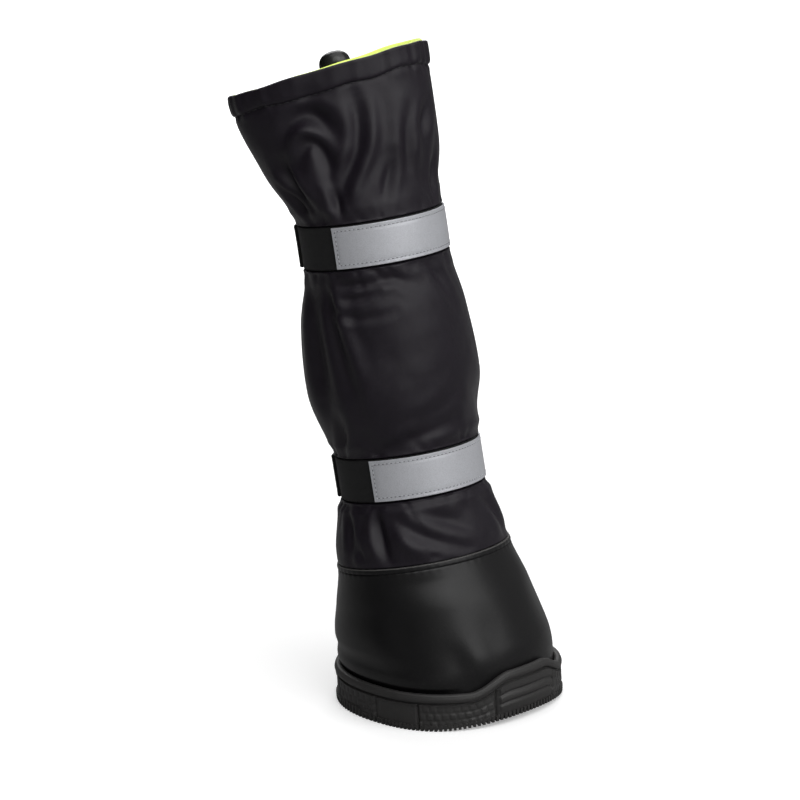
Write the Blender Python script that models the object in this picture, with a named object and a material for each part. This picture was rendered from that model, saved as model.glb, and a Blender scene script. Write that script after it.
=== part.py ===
"""A tall dog boot: rubber cup sole, insole, leather vamp, padded nylon shaft,
two webbing straps with reflective tape, and a cord stop on the collar's drawcord.

Metres, +Z up, toe towards -Y. The origin is on the floor, under the middle of the sole.
"Around" is an angle in degrees: 0 at the toe, 90 at the +X side, 180 at the heel.
"""
import math
from collections import namedtuple

import bmesh
import bpy
from mathutils import Vector

# Driving sizes of the sole
SOLE_LENGTH = 0.092
SOLE_WIDTH = 0.084
BALL_FROM_TOE = 0.040
SOLE_SQUARENESS = 2.2
ROUND_SECTION = 2.0
TREAD_DEPTH = 0.0017
PLATE_THICKNESS = 0.0050
CUP_HEIGHT = 0.0150
CUP_WALL = 0.0027
TOE_WAVE_RISE = 0.0062
TOE_SPRING = 0.0030
TOE_SPRING_LENGTH = 0.022
HEEL_SPRING = 0.0014
HEEL_SPRING_LENGTH = 0.012
ARCH_RISE = 0.0012
ARCH_LENGTH = 0.013
ARCH_BACK_OF_MIDDLE = 0.015
ARCH_FADE_END = 1.5

# Relief on the sole's side
LIP_HEIGHT = 0.0032
LIP_ROUNDING = 0.0008
SIDE_GROOVE_HEIGHT = 0.0012
SIDE_GROOVE_DEPTH = 0.0010
PANEL_RECESS = 0.0004
BUMPER_HALF_ANGLE = 20.5
BUMPER_PROUD = 0.0006
BUMPER_GROOVE = 0.0009
WAVE_FLAT_ANGLE = 12.0
WAVE_END_ANGLE = 38.0
PANEL_GROOVE_WIDTH = 0.0012
SIDE_GROOVE_ANGLES = (22.6, 67.0, 96.0, 130.0, 158.0)

# Tread
EDGE_LUG_COUNT = 68
EDGE_LUG_SHARE = 0.76
EDGE_LUG_REACH = 0.0042
EDGE_LUG_PROUD = 0.0003
FIELD_LUG_PITCH = 0.0118
FIELD_LUG_SIZE = 0.0082
FIELD_MARGIN = 0.0092
LUG_ROOT = 0.0007
REST_PAD_SIZE = 0.0120

# Insole and upper
GAP = 0.0003
INSOLE_THICKNESS = 0.0030
VAMP_WALL = 0.0018
SHAFT_WALL = 0.0024
SEAM_HEIGHT = 0.060
SEAM_LAP = 0.008
LAP_WALL = 0.0014
WELT_WIDTH = 0.0018
WELT_PROUD = 0.0005
SHAFT_WIDTH = 0.0645
SHAFT_SET_BACK = 0.0095
SHAFT_LEAN = math.tan(math.radians(8.5))
SHAFT_STEP = 0.0002
COLLAR_HEIGHT = 0.254
COLLAR_WIDTH = 0.079
COLLAR_DEPTH = 0.043
COLLAR_TURN = math.radians(-44.0)
COLLAR_SHIFT = 0.0075
COLLAR_DIP_SIDE = -0.02
COLLAR_DIP_BACK = 0.32
HEM_WIDTH = 0.0080
HEM_PROUD = 0.0008

# Straps and tape
LOWER_STRAP_HEIGHT = 0.094
UPPER_STRAP_HEIGHT = 0.187
STRAP_WIDTH = 0.0170
STRAP_THICKNESS = 0.0016
STRAP_ROOM = 0.0010
STRAP_END_FROM_ANGLE = 148.0
STRAP_END_TO_ANGLE = 222.0
STRAP_END_TAPER_ANGLE = 1.2
TAPE_HALF_ANGLE = 76.0
TAPE_THICKNESS = 0.0006
TAPE_WIDTH = 0.0164

# Drawcord and stop
STOP_WIDTH = 0.0130
STOP_HEIGHT = 0.0100
STOP_DEPTH = 0.0090
STOP_ANGLE = 131.0
CORD_DIAMETER = 0.0018
CORD_SPACING = 0.0030
STOP_SINK = 0.0035
STOP_ROUNDNESS = 0.55
RIM_STEP_ANGLE = 4.0
CORD_DROP = 0.0048
CORD_STAND_OFF = 0.0012
CORD_IN_STOP = 0.0040

COLUMNS = 44
FLOOR_TOP = TREAD_DEPTH + PLATE_THICKNESS
FOXING_INSET = CUP_WALL + GAP
BALL_Y = -SOLE_LENGTH / 2 + BALL_FROM_TOE

Ring = namedtuple("Ring", "height centre_x centre_y half_width front back turn dip_x dip_y square")
VampRow = namedtuple("VampRow", "name rise width toe heel")
ShaftRow = namedtuple("ShaftRow", "name span share size foot flare")
Fold = namedtuple("Fold", "name around span share wide tall slope depth")

# Rise is a share of the way from the lip to the seam. Width is a share of the sole's
# half width, toe and heel are shares of its half length.
VAMP_ROWS = (
    VampRow("bulge", 0.30, 0.965, 0.905, 0.962),
    VampRow("instep", 0.64, 0.915, 0.745, 0.955),
    VampRow("seam", 1.00, 0.855, 0.530, 0.925),
)

# Each row lies in a span of the shaft. Size is a share of the shaft's width, foot and
# flare say how far the section has turned into the vamp's top or the flat collar.
SHAFT_ROWS = (
    ShaftRow("first puff", "ankle", 0.25, 0.99, 0.90, 0.0),
    ShaftRow("hollow", "ankle", 0.60, 0.95, 0.45, 0.0),
    ShaftRow("under the strap", "ankle", 0.86, 0.91, 0.10, 0.0),
    ShaftRow("lower waist", "lower strap", 0.00, 0.835, 0.0, 0.0),
    ShaftRow("lower waist top", "lower strap", 1.00, 0.835, 0.0, 0.0),
    ShaftRow("over the strap", "calf", 0.07, 0.93, 0.0, 0.0),
    ShaftRow("calf", "calf", 0.35, 1.06, 0.0, 0.0),
    ShaftRow("upper calf", "calf", 0.70, 1.02, 0.0, 0.0),
    ShaftRow("under the upper strap", "calf", 0.93, 0.91, 0.0, 0.0),
    ShaftRow("upper waist", "upper strap", 0.00, 0.84, 0.0, 0.0),
    ShaftRow("upper waist top", "upper strap", 1.00, 0.84, 0.0, 0.0),
    ShaftRow("over the upper strap", "cuff", 0.10, 0.91, 0.0, 0.12),
    ShaftRow("flare", "cuff", 0.45, 1.00, 0.0, 0.52),
    ShaftRow("hem line", "cuff", 0.82, 1.00, 0.0, 0.93),
    ShaftRow("collar", "cuff", 1.00, 1.00, 0.0, 1.0),
)

# Shares of each span at which the shaft's wall has a row of corners
OUTSIDE_ROWS = (
    ("ankle", (0.25, 0.5, 0.75, 0.9)),
    ("lower strap", (0.0, 1.0)),
    ("calf", (0.07, 0.22, 0.4, 0.6, 0.78, 0.93)),
    ("upper strap", (0.0, 1.0)),
    ("cuff", (0.1, 0.3, 0.5, 0.68)),
)
INSIDE_ROWS = (
    ("ankle", (0.35, 0.8)),
    ("lower strap", (0.0, 1.0)),
    ("calf", (0.07, 0.32, 0.6, 0.93)),
    ("upper strap", (0.0, 1.0)),
    ("cuff", (0.1, 0.38, 0.64)),
)

# Soft troughs are negative and ridges positive. Wide is in degrees around, tall is a
# share of the span, slope is spans per radian around, depth is a share of the shaft's width.
FOLDS = (
    Fold("ankle trough", -70.0, "ankle", 0.45, 9.0, 0.42, -0.60, -0.030),
    Fold("ankle ridge", -48.0, "ankle", 0.50, 13.0, 0.40, -0.60, 0.018),
    Fold("ankle front dent", -16.0, "ankle", 0.62, 17.0, 0.20, 0.10, -0.020),
    Fold("ankle side trough", 52.0, "ankle", 0.50, 10.0, 0.40, 0.80, -0.024),
    Fold("calf long crease", -101.0, "calf", 0.55, 9.0, 0.46, 0.05, -0.036),
    Fold("calf side puff", -126.0, "calf", 0.45, 18.0, 0.35, 0.00, 0.026),
    Fold("calf right hollow", 32.0, "calf", 0.22, 22.0, 0.10, -0.16, -0.026),
    Fold("calf back crease", 165.0, "calf", 0.40, 10.0, 0.40, 0.10, -0.030),
    Fold("cuff long crease", -58.0, "cuff", 0.45, 8.0, 0.38, 0.35, -0.036),
    Fold("cuff left gather", -96.0, "cuff", 0.30, 12.0, 0.25, 0.60, -0.040),
    Fold("cuff right ridge", -3.0, "cuff", 0.48, 12.0, 0.36, -0.20, 0.020),
    Fold("cuff back trough", 120.0, "cuff", 0.40, 14.0, 0.30, 0.10, -0.030),
)

COLOURS = {
    "rubber": ((0.012, 0.012, 0.012), 0.62),
    "lining": ((0.62, 0.86, 0.16), 0.85),
    "leather": ((0.010, 0.010, 0.011), 0.30),
    "nylon": ((0.014, 0.013, 0.018), 0.55),
    "webbing": ((0.008, 0.008, 0.009), 0.80),
    "tape": ((0.42, 0.43, 0.46), 0.40),
    "plastic": ((0.006, 0.006, 0.006), 0.18),
}


def smooth(value):
    """Ease from 0 to 1 as value goes from 0 to 1."""
    value = min(max(value, 0.0), 1.0)
    return value * value * (3.0 - 2.0 * value)


def mix(start, end, share):
    return start + (end - start) * share


def monotone(knots, values, position):
    """A smooth curve through the values that never swings past them."""
    last = len(knots) - 1
    if position <= knots[0]:
        return values[0]
    if position >= knots[last]:
        return values[last]
    slopes = [(values[i + 1] - values[i]) / (knots[i + 1] - knots[i]) for i in range(last)]
    tangents = [0.0] * (last + 1)
    for i in range(1, last):
        if slopes[i - 1] * slopes[i] > 0.0:
            tangents[i] = 2.0 * slopes[i - 1] * slopes[i] / (slopes[i - 1] + slopes[i])
    i = max(index for index in range(last) if knots[index] <= position)
    step = knots[i + 1] - knots[i]
    t = (position - knots[i]) / step
    ease = t * t * (3.0 - 2.0 * t)
    pull = tangents[i] * t * (1.0 - t) ** 2 - tangents[i + 1] * t * t * (1.0 - t)
    return mix(values[i], values[i + 1], ease) + pull * step


def oval_point(ring, around, out=0.0):
    """A point on an oval section, moved outwards by out."""
    angle = math.radians(around) - ring.turn
    side = math.sin(angle)
    ahead = math.cos(angle)
    power = ring.square
    reach = (abs(side) ** power + abs(ahead) ** power) ** (-1.0 / power)
    length = ring.front if ahead > 0.0 else ring.back
    local_x = (ring.half_width + out) * side * reach
    local_y = -(length + out) * ahead * reach
    across = local_x * math.cos(ring.turn) - local_y * math.sin(ring.turn)
    along = local_x * math.sin(ring.turn) + local_y * math.cos(ring.turn)
    return Vector((
        ring.centre_x + across,
        ring.centre_y + along,
        ring.height - across * ring.dip_x - along * ring.dip_y,
    ))


def sole_ring(height, inset=0.0):
    """The sole's outline at a height."""
    return Ring(
        height, 0.0, BALL_Y, SOLE_WIDTH / 2 - inset, BALL_FROM_TOE - inset,
        SOLE_LENGTH - BALL_FROM_TOE - inset, 0.0, 0.0, 0.0, SOLE_SQUARENESS,
    )


def sole_point(around, height, out=0.0):
    return oval_point(sole_ring(height), around, out)


def spring_rise(y):
    """How far the tread has left the floor: toe spring and the heel's rounded end."""
    toe = (-y - (SOLE_LENGTH / 2 - TOE_SPRING_LENGTH)) / TOE_SPRING_LENGTH
    heel = (y - (SOLE_LENGTH / 2 - HEEL_SPRING_LENGTH)) / HEEL_SPRING_LENGTH
    return TOE_SPRING * max(toe, 0.0) ** 2 + HEEL_SPRING * max(heel, 0.0) ** 2


def arch_rise(y):
    """How far the arch lifts the tread: it fades out at ARCH_FADE_END half lengths."""
    away = abs(y - ARCH_BACK_OF_MIDDLE) / (ARCH_LENGTH / 2)
    return ARCH_RISE * smooth(ARCH_FADE_END - away)


def lip_top(around):
    """The lip runs level and rises in a wave over the toe bumper."""
    away = abs((around + 180.0) % 360.0 - 180.0)
    share = 1.0 - smooth((away - WAVE_FLAT_ANGLE) / (WAVE_END_ANGLE - WAVE_FLAT_ANGLE))
    return CUP_HEIGHT + TOE_WAVE_RISE * share


def shaft_spans():
    """Where each span of the shaft starts and ends."""
    half = STRAP_WIDTH / 2 + STRAP_ROOM
    return {
        "ankle": (SEAM_HEIGHT, LOWER_STRAP_HEIGHT - half),
        "lower strap": (LOWER_STRAP_HEIGHT - half, LOWER_STRAP_HEIGHT + half),
        "calf": (LOWER_STRAP_HEIGHT + half, UPPER_STRAP_HEIGHT - half),
        "upper strap": (UPPER_STRAP_HEIGHT - half, UPPER_STRAP_HEIGHT + half),
        "cuff": (UPPER_STRAP_HEIGHT + half, COLLAR_HEIGHT),
    }


SPANS = shaft_spans()


def vamp_ring(row):
    height = mix(CUP_HEIGHT, SEAM_HEIGHT, row.rise)
    toe_y = -row.toe * SOLE_LENGTH / 2
    heel_y = row.heel * SOLE_LENGTH / 2
    centre_y = mix(BALL_Y, SHAFT_SET_BACK, row.rise)
    return Ring(
        height, 0.0, centre_y, row.width * SOLE_WIDTH / 2, centre_y - toe_y,
        heel_y - centre_y, 0.0, 0.0, SHAFT_LEAN * smooth(row.rise),
        mix(SOLE_SQUARENESS, ROUND_SECTION, row.rise),
    )


def shaft_ring(row, seam):
    low, high = SPANS[row.span]
    height = mix(low, high, row.share)
    axis_y = SHAFT_SET_BACK + (height - SEAM_HEIGHT) * SHAFT_LEAN
    radius = row.size * SHAFT_WIDTH / 2
    half_width = mix(mix(radius, seam.half_width, row.foot), COLLAR_WIDTH / 2, row.flare)
    front = mix(mix(radius, seam.front, row.foot), COLLAR_DEPTH / 2, row.flare)
    back = mix(mix(radius, seam.back, row.foot), COLLAR_DEPTH / 2, row.flare)
    return Ring(
        height, -COLLAR_SHIFT * row.flare * math.cos(COLLAR_TURN),
        axis_y - COLLAR_SHIFT * row.flare * math.sin(COLLAR_TURN),
        half_width, front, back, COLLAR_TURN * smooth(2.0 * row.flare),
        COLLAR_DIP_SIDE * row.flare, mix(SHAFT_LEAN, COLLAR_DIP_BACK, row.flare), ROUND_SECTION,
    )


def upper_rings():
    """The sections that the whole upper is lofted through, bottom to top."""
    foot = sole_ring(FLOOR_TOP, FOXING_INSET)
    wave_top = CUP_HEIGHT + TOE_WAVE_RISE
    rings = [foot, foot._replace(height=CUP_HEIGHT), foot._replace(height=wave_top)]
    rings += [vamp_ring(row) for row in VAMP_ROWS]
    rings += [shaft_ring(row, rings[-1]) for row in SHAFT_ROWS]
    return rings


RINGS = upper_rings()
RING_HEIGHTS = [ring.height for ring in RINGS]


def upper_ring(height):
    """The upper's section at any height."""
    fields = {
        name: monotone(RING_HEIGHTS, [getattr(ring, name) for ring in RINGS], height)
        for name in Ring._fields if name != "height"
    }
    return Ring(height=height, **fields)


def fold_depth(height, around):
    """The large troughs and ridges of the slack shaft, gone under the straps and the hem."""
    total = 0.0
    for fold in FOLDS:
        low, high = SPANS[fold.span]
        share = (height - low) / (high - low)
        turn = (around - fold.around + 180.0) % 360.0 - 180.0
        across = turn / fold.wide
        up = (share - fold.share - fold.slope * math.radians(turn)) / fold.tall
        fade = smooth(share / 0.12) * smooth((1.0 - share) / 0.16)
        total += fold.depth * fade * math.exp(-across * across - up * up)
    return total * SHAFT_WIDTH


def upper_point(height, around, out=0.0):
    """A point of the upper's outside at a height, moved outwards by out."""
    return oval_point(upper_ring(height), around, out + fold_depth(height, around))


def columns(extra=()):
    """The angles of a section's corners, with a few more where a step needs them."""
    even = [360.0 * index / COLUMNS for index in range(COLUMNS)]
    return sorted(set(even) | {angle % 360.0 for angle in extra})


def add_object(name, mesh_data, colour_name):
    """A named object with its own material."""
    colour, roughness = COLOURS[colour_name]
    material = bpy.data.materials.new(name + "_" + colour_name)
    material.use_nodes = True
    shader = material.node_tree.nodes["Principled BSDF"]
    shader.inputs["Base Color"].default_value = (*colour, 1.0)
    shader.inputs["Roughness"].default_value = roughness
    shader.inputs["Metallic"].default_value = 0.0
    mesh_data.materials.append(material)
    made = bpy.data.objects.new(name, mesh_data)
    bpy.context.scene.collection.objects.link(made)
    return made


def mesh_from_bmesh(name, bm):
    bmesh.ops.recalc_face_normals(bm, faces=bm.faces)
    mesh_data = bpy.data.meshes.new(name)
    bm.to_mesh(mesh_data)
    bm.free()
    return mesh_data


def skin_rings(bm, rings, close_ends):
    """Skin a list of rings of points. The ends are capped, or joined to each other."""
    loops = [[bm.verts.new(point) for point in ring] for ring in rings]
    count = len(loops[0])
    pairs = list(zip(loops, loops[1:]))
    if not close_ends:
        pairs.append((loops[-1], loops[0]))
    for lower, upper in pairs:
        for i in range(count):
            j = (i + 1) % count
            bm.faces.new((lower[i], lower[j], upper[j], upper[i]))
    if close_ends:
        bm.faces.new(list(reversed(loops[0])))
        bm.faces.new(loops[-1])


def loft(name, rings, colour_name, close_ends=False):
    bm = bmesh.new()
    skin_rings(bm, rings, close_ends)
    made = add_object(name, mesh_from_bmesh(name, bm), colour_name)
    made.data.shade_smooth()
    made.data.set_sharp_from_angle(angle=math.radians(40.0))
    return made


def add_block(bm, lower, upper):
    """A closed block between two loops of points that run the same way."""
    skin_rings(bm, [lower, upper], True)


def wall_block(bm, angles, low, high, inner, outer):
    """A block that follows the sole's outline. low and high are functions of the angle."""
    sections = [
        [
            sole_point(angle, low(angle), outer), sole_point(angle, high(angle), outer),
            sole_point(angle, high(angle), inner), sole_point(angle, low(angle), inner),
        ]
        for angle in angles
    ]
    add_block_strip(bm, sections)


def add_block_strip(bm, sections):
    loops = [[bm.verts.new(point) for point in section] for section in sections]
    count = len(loops[0])
    for first, second in zip(loops, loops[1:]):
        for i in range(count):
            j = (i + 1) % count
            bm.faces.new((first[i], first[j], second[j], second[i]))
    bm.faces.new(list(reversed(loops[0])))
    bm.faces.new(loops[-1])


def apply_boolean(target, bm, operation, name):
    """Cut or join a set of blocks, then apply it."""
    helper = bpy.data.objects.new(name, mesh_from_bmesh(name, bm))
    bpy.context.scene.collection.objects.link(helper)
    modifier = target.modifiers.new(name, "BOOLEAN")
    modifier.operation = operation
    modifier.object = helper
    modifier.solver = "EXACT"
    modifier.use_self = operation == "UNION"
    graph = bpy.context.evaluated_depsgraph_get()
    result = bpy.data.meshes.new_from_object(target.evaluated_get(graph))
    target.modifiers.remove(modifier)
    target.data = result
    bpy.data.objects.remove(helper)


def tread_base(around, share):
    """The sole's underside between the lugs, at a share of the way out to its edge."""
    middle = Vector((0.0, BALL_Y, 0.0))
    edge = sole_point(around, 0.0, -LIP_ROUNDING)
    place = middle.lerp(edge, share)
    place.z = TREAD_DEPTH + spring_rise(place.y) + arch_rise(place.y)
    return place


def side_low(around):
    """The height where the sole's side starts, over the tread."""
    return TREAD_DEPTH + spring_rise(sole_point(around, 0.0).y)


def outsole_rings():
    """Rings of the cup sole: under, up the side, over the lip and down into the cup."""
    angles = columns()
    groove_top = LIP_HEIGHT
    groove_low = LIP_HEIGHT + SIDE_GROOVE_HEIGHT
    bevel = SIDE_GROOVE_HEIGHT / 4
    rings = [[tread_base(angle, share) for angle in angles] for share in (0.30, 0.72, 1.0)]
    for up, out in ((LIP_ROUNDING, 0.0), (2 * LIP_ROUNDING, -PANEL_RECESS)):
        rings.append([sole_point(a, side_low(a) + up, out) for a in angles])
    for down, out in (
        (groove_low + 2 * LIP_ROUNDING, -PANEL_RECESS),
        (groove_low + LIP_ROUNDING, 0.0),
        (groove_low, 0.0),
        (groove_low - bevel, -SIDE_GROOVE_DEPTH),
        (groove_top + bevel, -SIDE_GROOVE_DEPTH),
        (groove_top, 0.0),
        (LIP_ROUNDING, 0.0),
        (0.0, -LIP_ROUNDING),
        (0.0, -CUP_WALL + LIP_ROUNDING / 2),
        (LIP_ROUNDING / 2, -CUP_WALL),
    ):
        rings.append([sole_point(a, lip_top(a) - down, out) for a in angles])
    rings.append([sole_point(a, FLOOR_TOP, -CUP_WALL) for a in angles])
    return rings


def edge_lugs(bm):
    """Small lugs all round the edge, which give the sole its serrated lower line."""
    pitch = 360.0 / EDGE_LUG_COUNT
    half = pitch * EDGE_LUG_SHARE / 2
    for index in range(EDGE_LUG_COUNT):
        middle = pitch * (index + 0.5)
        corners = [
            (middle - half, EDGE_LUG_PROUD), (middle + half, EDGE_LUG_PROUD),
            (middle + half, -EDGE_LUG_REACH), (middle - half, -EDGE_LUG_REACH),
        ]
        lower = [sole_point(angle, 0.0, out) for angle, out in corners]
        for point in lower:
            point.z = spring_rise(point.y)
        rise = Vector((0.0, 0.0, TREAD_DEPTH + LUG_ROOT + arch_rise(lower[0].y)))
        add_block(bm, lower, [point + rise for point in lower])


def inside_field(x, y):
    """True where a lug of the field fits inside the row of edge lugs, off the arch."""
    ring = sole_ring(0.0, FIELD_MARGIN)
    length = ring.front if y < ring.centre_y else ring.back
    power = SOLE_SQUARENESS
    far = (abs(x) / ring.half_width) ** power + (abs(y - ring.centre_y) / length) ** power
    on_arch = abs(y - ARCH_BACK_OF_MIDDLE) < ARCH_LENGTH / 2
    on_pad = math.hypot(x, y) < (REST_PAD_SIZE + FIELD_LUG_SIZE) / 2 + LUG_ROOT
    return far < 1.0 and not on_arch and not on_pad


def diamond(x, y, size, side_count, turn):
    """The corners of a regular lug."""
    points = []
    for index in range(side_count):
        angle = turn + 2.0 * math.pi * index / side_count
        points.append(Vector((
            x + size / 2 * math.cos(angle),
            y + size / 2 * math.sin(angle),
            0.0,
        )))
    for point in points:
        point.z = spring_rise(point.y)
    return points


def field_lugs(bm):
    """Diamond lugs in staggered rows, and the six-sided pad that the origin sits under."""
    row_step = FIELD_LUG_PITCH / 2
    rows = int(SOLE_LENGTH / row_step)
    across = int(SOLE_WIDTH / FIELD_LUG_PITCH)
    rise = Vector((0.0, 0.0, TREAD_DEPTH + LUG_ROOT + ARCH_RISE))
    for row in range(-rows, rows + 1):
        y = row * row_step
        for column in range(-across, across + 1):
            x = (column + 0.5 * (row % 2)) * FIELD_LUG_PITCH
            if inside_field(x, y):
                lower = diamond(x, y, FIELD_LUG_SIZE, 4, 0.0)
                add_block(bm, lower, [point + rise for point in lower])
    pad = diamond(0.0, 0.0, REST_PAD_SIZE, 6, 0.0)
    add_block(bm, pad, [point + rise for point in pad])


def bumper_angles(half):
    steps = 8
    return [-half + 2.0 * half * index / steps for index in range(steps + 1)]


def bumper_height(share):
    """A height on the bumper, from the sole's side up to the groove under the lip."""
    def height(around):
        top = lip_top(around) - LIP_HEIGHT - SIDE_GROOVE_HEIGHT
        return mix(side_low(around) + LIP_ROUNDING, top, share)
    return height


def make_outsole():
    """Cup sole with its wave lip, toe bumper, side grooves and lugs."""
    sole = loft("outsole", outsole_rings(), "rubber", close_ends=True)
    bumper = bmesh.new()
    wall_block(
        bumper, bumper_angles(BUMPER_HALF_ANGLE), bumper_height(0.0), bumper_height(1.0),
        -CUP_WALL / 2, BUMPER_PROUD,
    )
    apply_boolean(sole, bumper, "UNION", "bumper_slab")
    grooves = bmesh.new()
    for share in (0.42, 0.72):
        half_share = BUMPER_GROOVE / 2 / (lip_top(0.0) - side_low(0.0))
        wall_block(
            grooves, bumper_angles(BUMPER_HALF_ANGLE + 0.5), bumper_height(share - half_share),
            bumper_height(share + half_share), -BUMPER_GROOVE / 2, 4 * BUMPER_PROUD,
        )
    for around in SIDE_GROOVE_ANGLES:
        half = math.degrees(PANEL_GROOVE_WIDTH / SOLE_WIDTH)
        for side in (-1.0, 1.0):
            angles = [side * around - half, side * around + half]
            wall_block(
                grooves, angles, bumper_height(-0.10), bumper_height(1.05),
                -SIDE_GROOVE_DEPTH, 4 * BUMPER_PROUD,
            )
    apply_boolean(sole, grooves, "DIFFERENCE", "side_grooves")
    lugs = bmesh.new()
    edge_lugs(lugs)
    field_lugs(lugs)
    apply_boolean(sole, lugs, "UNION", "lugs")
    return sole


def make_insole():
    """A flat foam insole that lies in the cup, inside the vamp's lower edge."""
    inset = FOXING_INSET + VAMP_WALL + GAP
    bottom = FLOOR_TOP + GAP
    top = bottom + INSOLE_THICKNESS
    edge = INSOLE_THICKNESS / 4
    rings = [
        [oval_point(sole_ring(height, inset + pull), angle) for angle in columns()]
        for height, pull in ((bottom, 0.0), (top - edge, 0.0), (top, edge))
    ]
    return loft("insole", rings, "lining", close_ends=True)


def wall_rings(outside, inside):
    """Rings up the outside of a hollow wall and down its inside."""
    return [
        [upper_point(height, angle, out) for angle in columns()]
        for height, out in outside + inside[::-1]
    ]


def make_vamp():
    """The leather bucket: open underneath and at its top, with a raised welt at the seam."""
    bottom = FLOOR_TOP + GAP
    wave_top = CUP_HEIGHT + TOE_WAVE_RISE
    lap_low = SEAM_HEIGHT - SEAM_LAP
    body = [mix(wave_top, lap_low, share) for share in (0.25, 0.5, 0.75, 1.0)]
    heights = [bottom, CUP_HEIGHT, wave_top] + body
    edge = WELT_WIDTH / 6
    outside = [(height, 0.0) for height in heights + [SEAM_HEIGHT - WELT_WIDTH]]
    outside += [
        (SEAM_HEIGHT - WELT_WIDTH + edge, WELT_PROUD),
        (SEAM_HEIGHT - edge, WELT_PROUD),
        (SEAM_HEIGHT, 0.0),
    ]
    inside = [(height, -VAMP_WALL) for height in heights + [SEAM_HEIGHT]]
    return loft("vamp", wall_rings(outside, inside), "leather")


def span_heights(rows):
    """Heights at shares of the shaft's spans."""
    return [mix(*SPANS[span], share) for span, shares in rows for share in shares]


def make_shaft():
    """The padded nylon tube: lapped inside the vamp, cinched at the straps, hemmed at the top."""
    low = SEAM_HEIGHT - SEAM_LAP
    lap_out = -VAMP_WALL - GAP
    start = SEAM_HEIGHT + GAP
    hem_low = COLLAR_HEIGHT - HEM_WIDTH
    edge = HEM_PROUD
    outside = [(low, lap_out), (start, lap_out), (start + GAP, -SHAFT_STEP)]
    outside += [(height, -SHAFT_STEP) for height in span_heights(OUTSIDE_ROWS)]
    outside += [
        (hem_low - edge, -SHAFT_STEP),
        (hem_low, HEM_PROUD),
        (COLLAR_HEIGHT - edge, HEM_PROUD),
        (COLLAR_HEIGHT, -SHAFT_STEP),
    ]
    inner = -SHAFT_STEP - SHAFT_WALL
    inside = [(low, lap_out - LAP_WALL), (start, lap_out - LAP_WALL)]
    inside += [(height, inner) for height in span_heights(INSIDE_ROWS)]
    inside += [(hem_low, inner), (COLLAR_HEIGHT - edge, inner), (COLLAR_HEIGHT, inner + edge)]
    return loft("shaft", wall_rings(outside, inside), "nylon")


def strap_end(around):
    """How much of a second layer lies over the webbing: the strap's fastened end."""
    rise = (around - STRAP_END_FROM_ANGLE) / STRAP_END_TAPER_ANGLE
    fall = (STRAP_END_TO_ANGLE - around) / STRAP_END_TAPER_ANGLE
    return min(max(min(rise, fall), 0.0), 1.0)


def make_strap(name, height):
    """A webbing loop round the shaft, its end laid over itself at the back."""
    ends = (
        STRAP_END_FROM_ANGLE, STRAP_END_FROM_ANGLE + STRAP_END_TAPER_ANGLE,
        STRAP_END_TO_ANGLE - STRAP_END_TAPER_ANGLE, STRAP_END_TO_ANGLE,
    )
    angles = columns(ends)
    low = height - STRAP_WIDTH / 2
    high = height + STRAP_WIDTH / 2

    def outer(level):
        return [
            upper_point(level, a, GAP + STRAP_THICKNESS * (1.0 + strap_end(a)))
            for a in angles
        ]

    def inner(level):
        return [upper_point(level, a, GAP) for a in angles]

    return loft(name, [outer(low), outer(high), inner(high), inner(low)], "webbing")


def make_tape(name, height):
    """The reflective strip that is sewn over the front of a strap."""
    base = 2 * GAP + STRAP_THICKNESS
    steps = 20
    angles = [-TAPE_HALF_ANGLE + 2 * TAPE_HALF_ANGLE * i / steps for i in range(steps + 1)]
    low = height - TAPE_WIDTH / 2
    high = height + TAPE_WIDTH / 2
    bm = bmesh.new()
    add_block_strip(bm, [
        [
            upper_point(low, a, base + TAPE_THICKNESS), upper_point(high, a, base + TAPE_THICKNESS),
            upper_point(high, a, base), upper_point(low, a, base),
        ]
        for a in angles
    ])
    made = add_object(name, mesh_from_bmesh(name, bm), "tape")
    made.data.shade_smooth()
    made.data.set_sharp_from_angle(angle=math.radians(40.0))
    return made


def stop_frame():
    """The cord stop's place: its base just outside the rim, and its three directions."""
    rim_out = upper_point(COLLAR_HEIGHT - HEM_PROUD, STOP_ANGLE, HEM_PROUD)
    rim_in = upper_point(COLLAR_HEIGHT - HEM_PROUD, STOP_ANGLE, -SHAFT_WALL)
    outward = (rim_out - rim_in).normalized()
    rim_beside = upper_point(COLLAR_HEIGHT - HEM_PROUD, STOP_ANGLE + RIM_STEP_ANGLE, HEM_PROUD)
    up = outward.cross(rim_beside - rim_out).normalized()
    side = up.cross(outward).normalized()
    base = rim_out + outward * (STOP_DEPTH / 2 + GAP) - up * (STOP_SINK - HEM_PROUD)
    return base, outward, side, up


def place(base, outward, side, up, x, y, z):
    return base + side * x + outward * y + up * z


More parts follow.
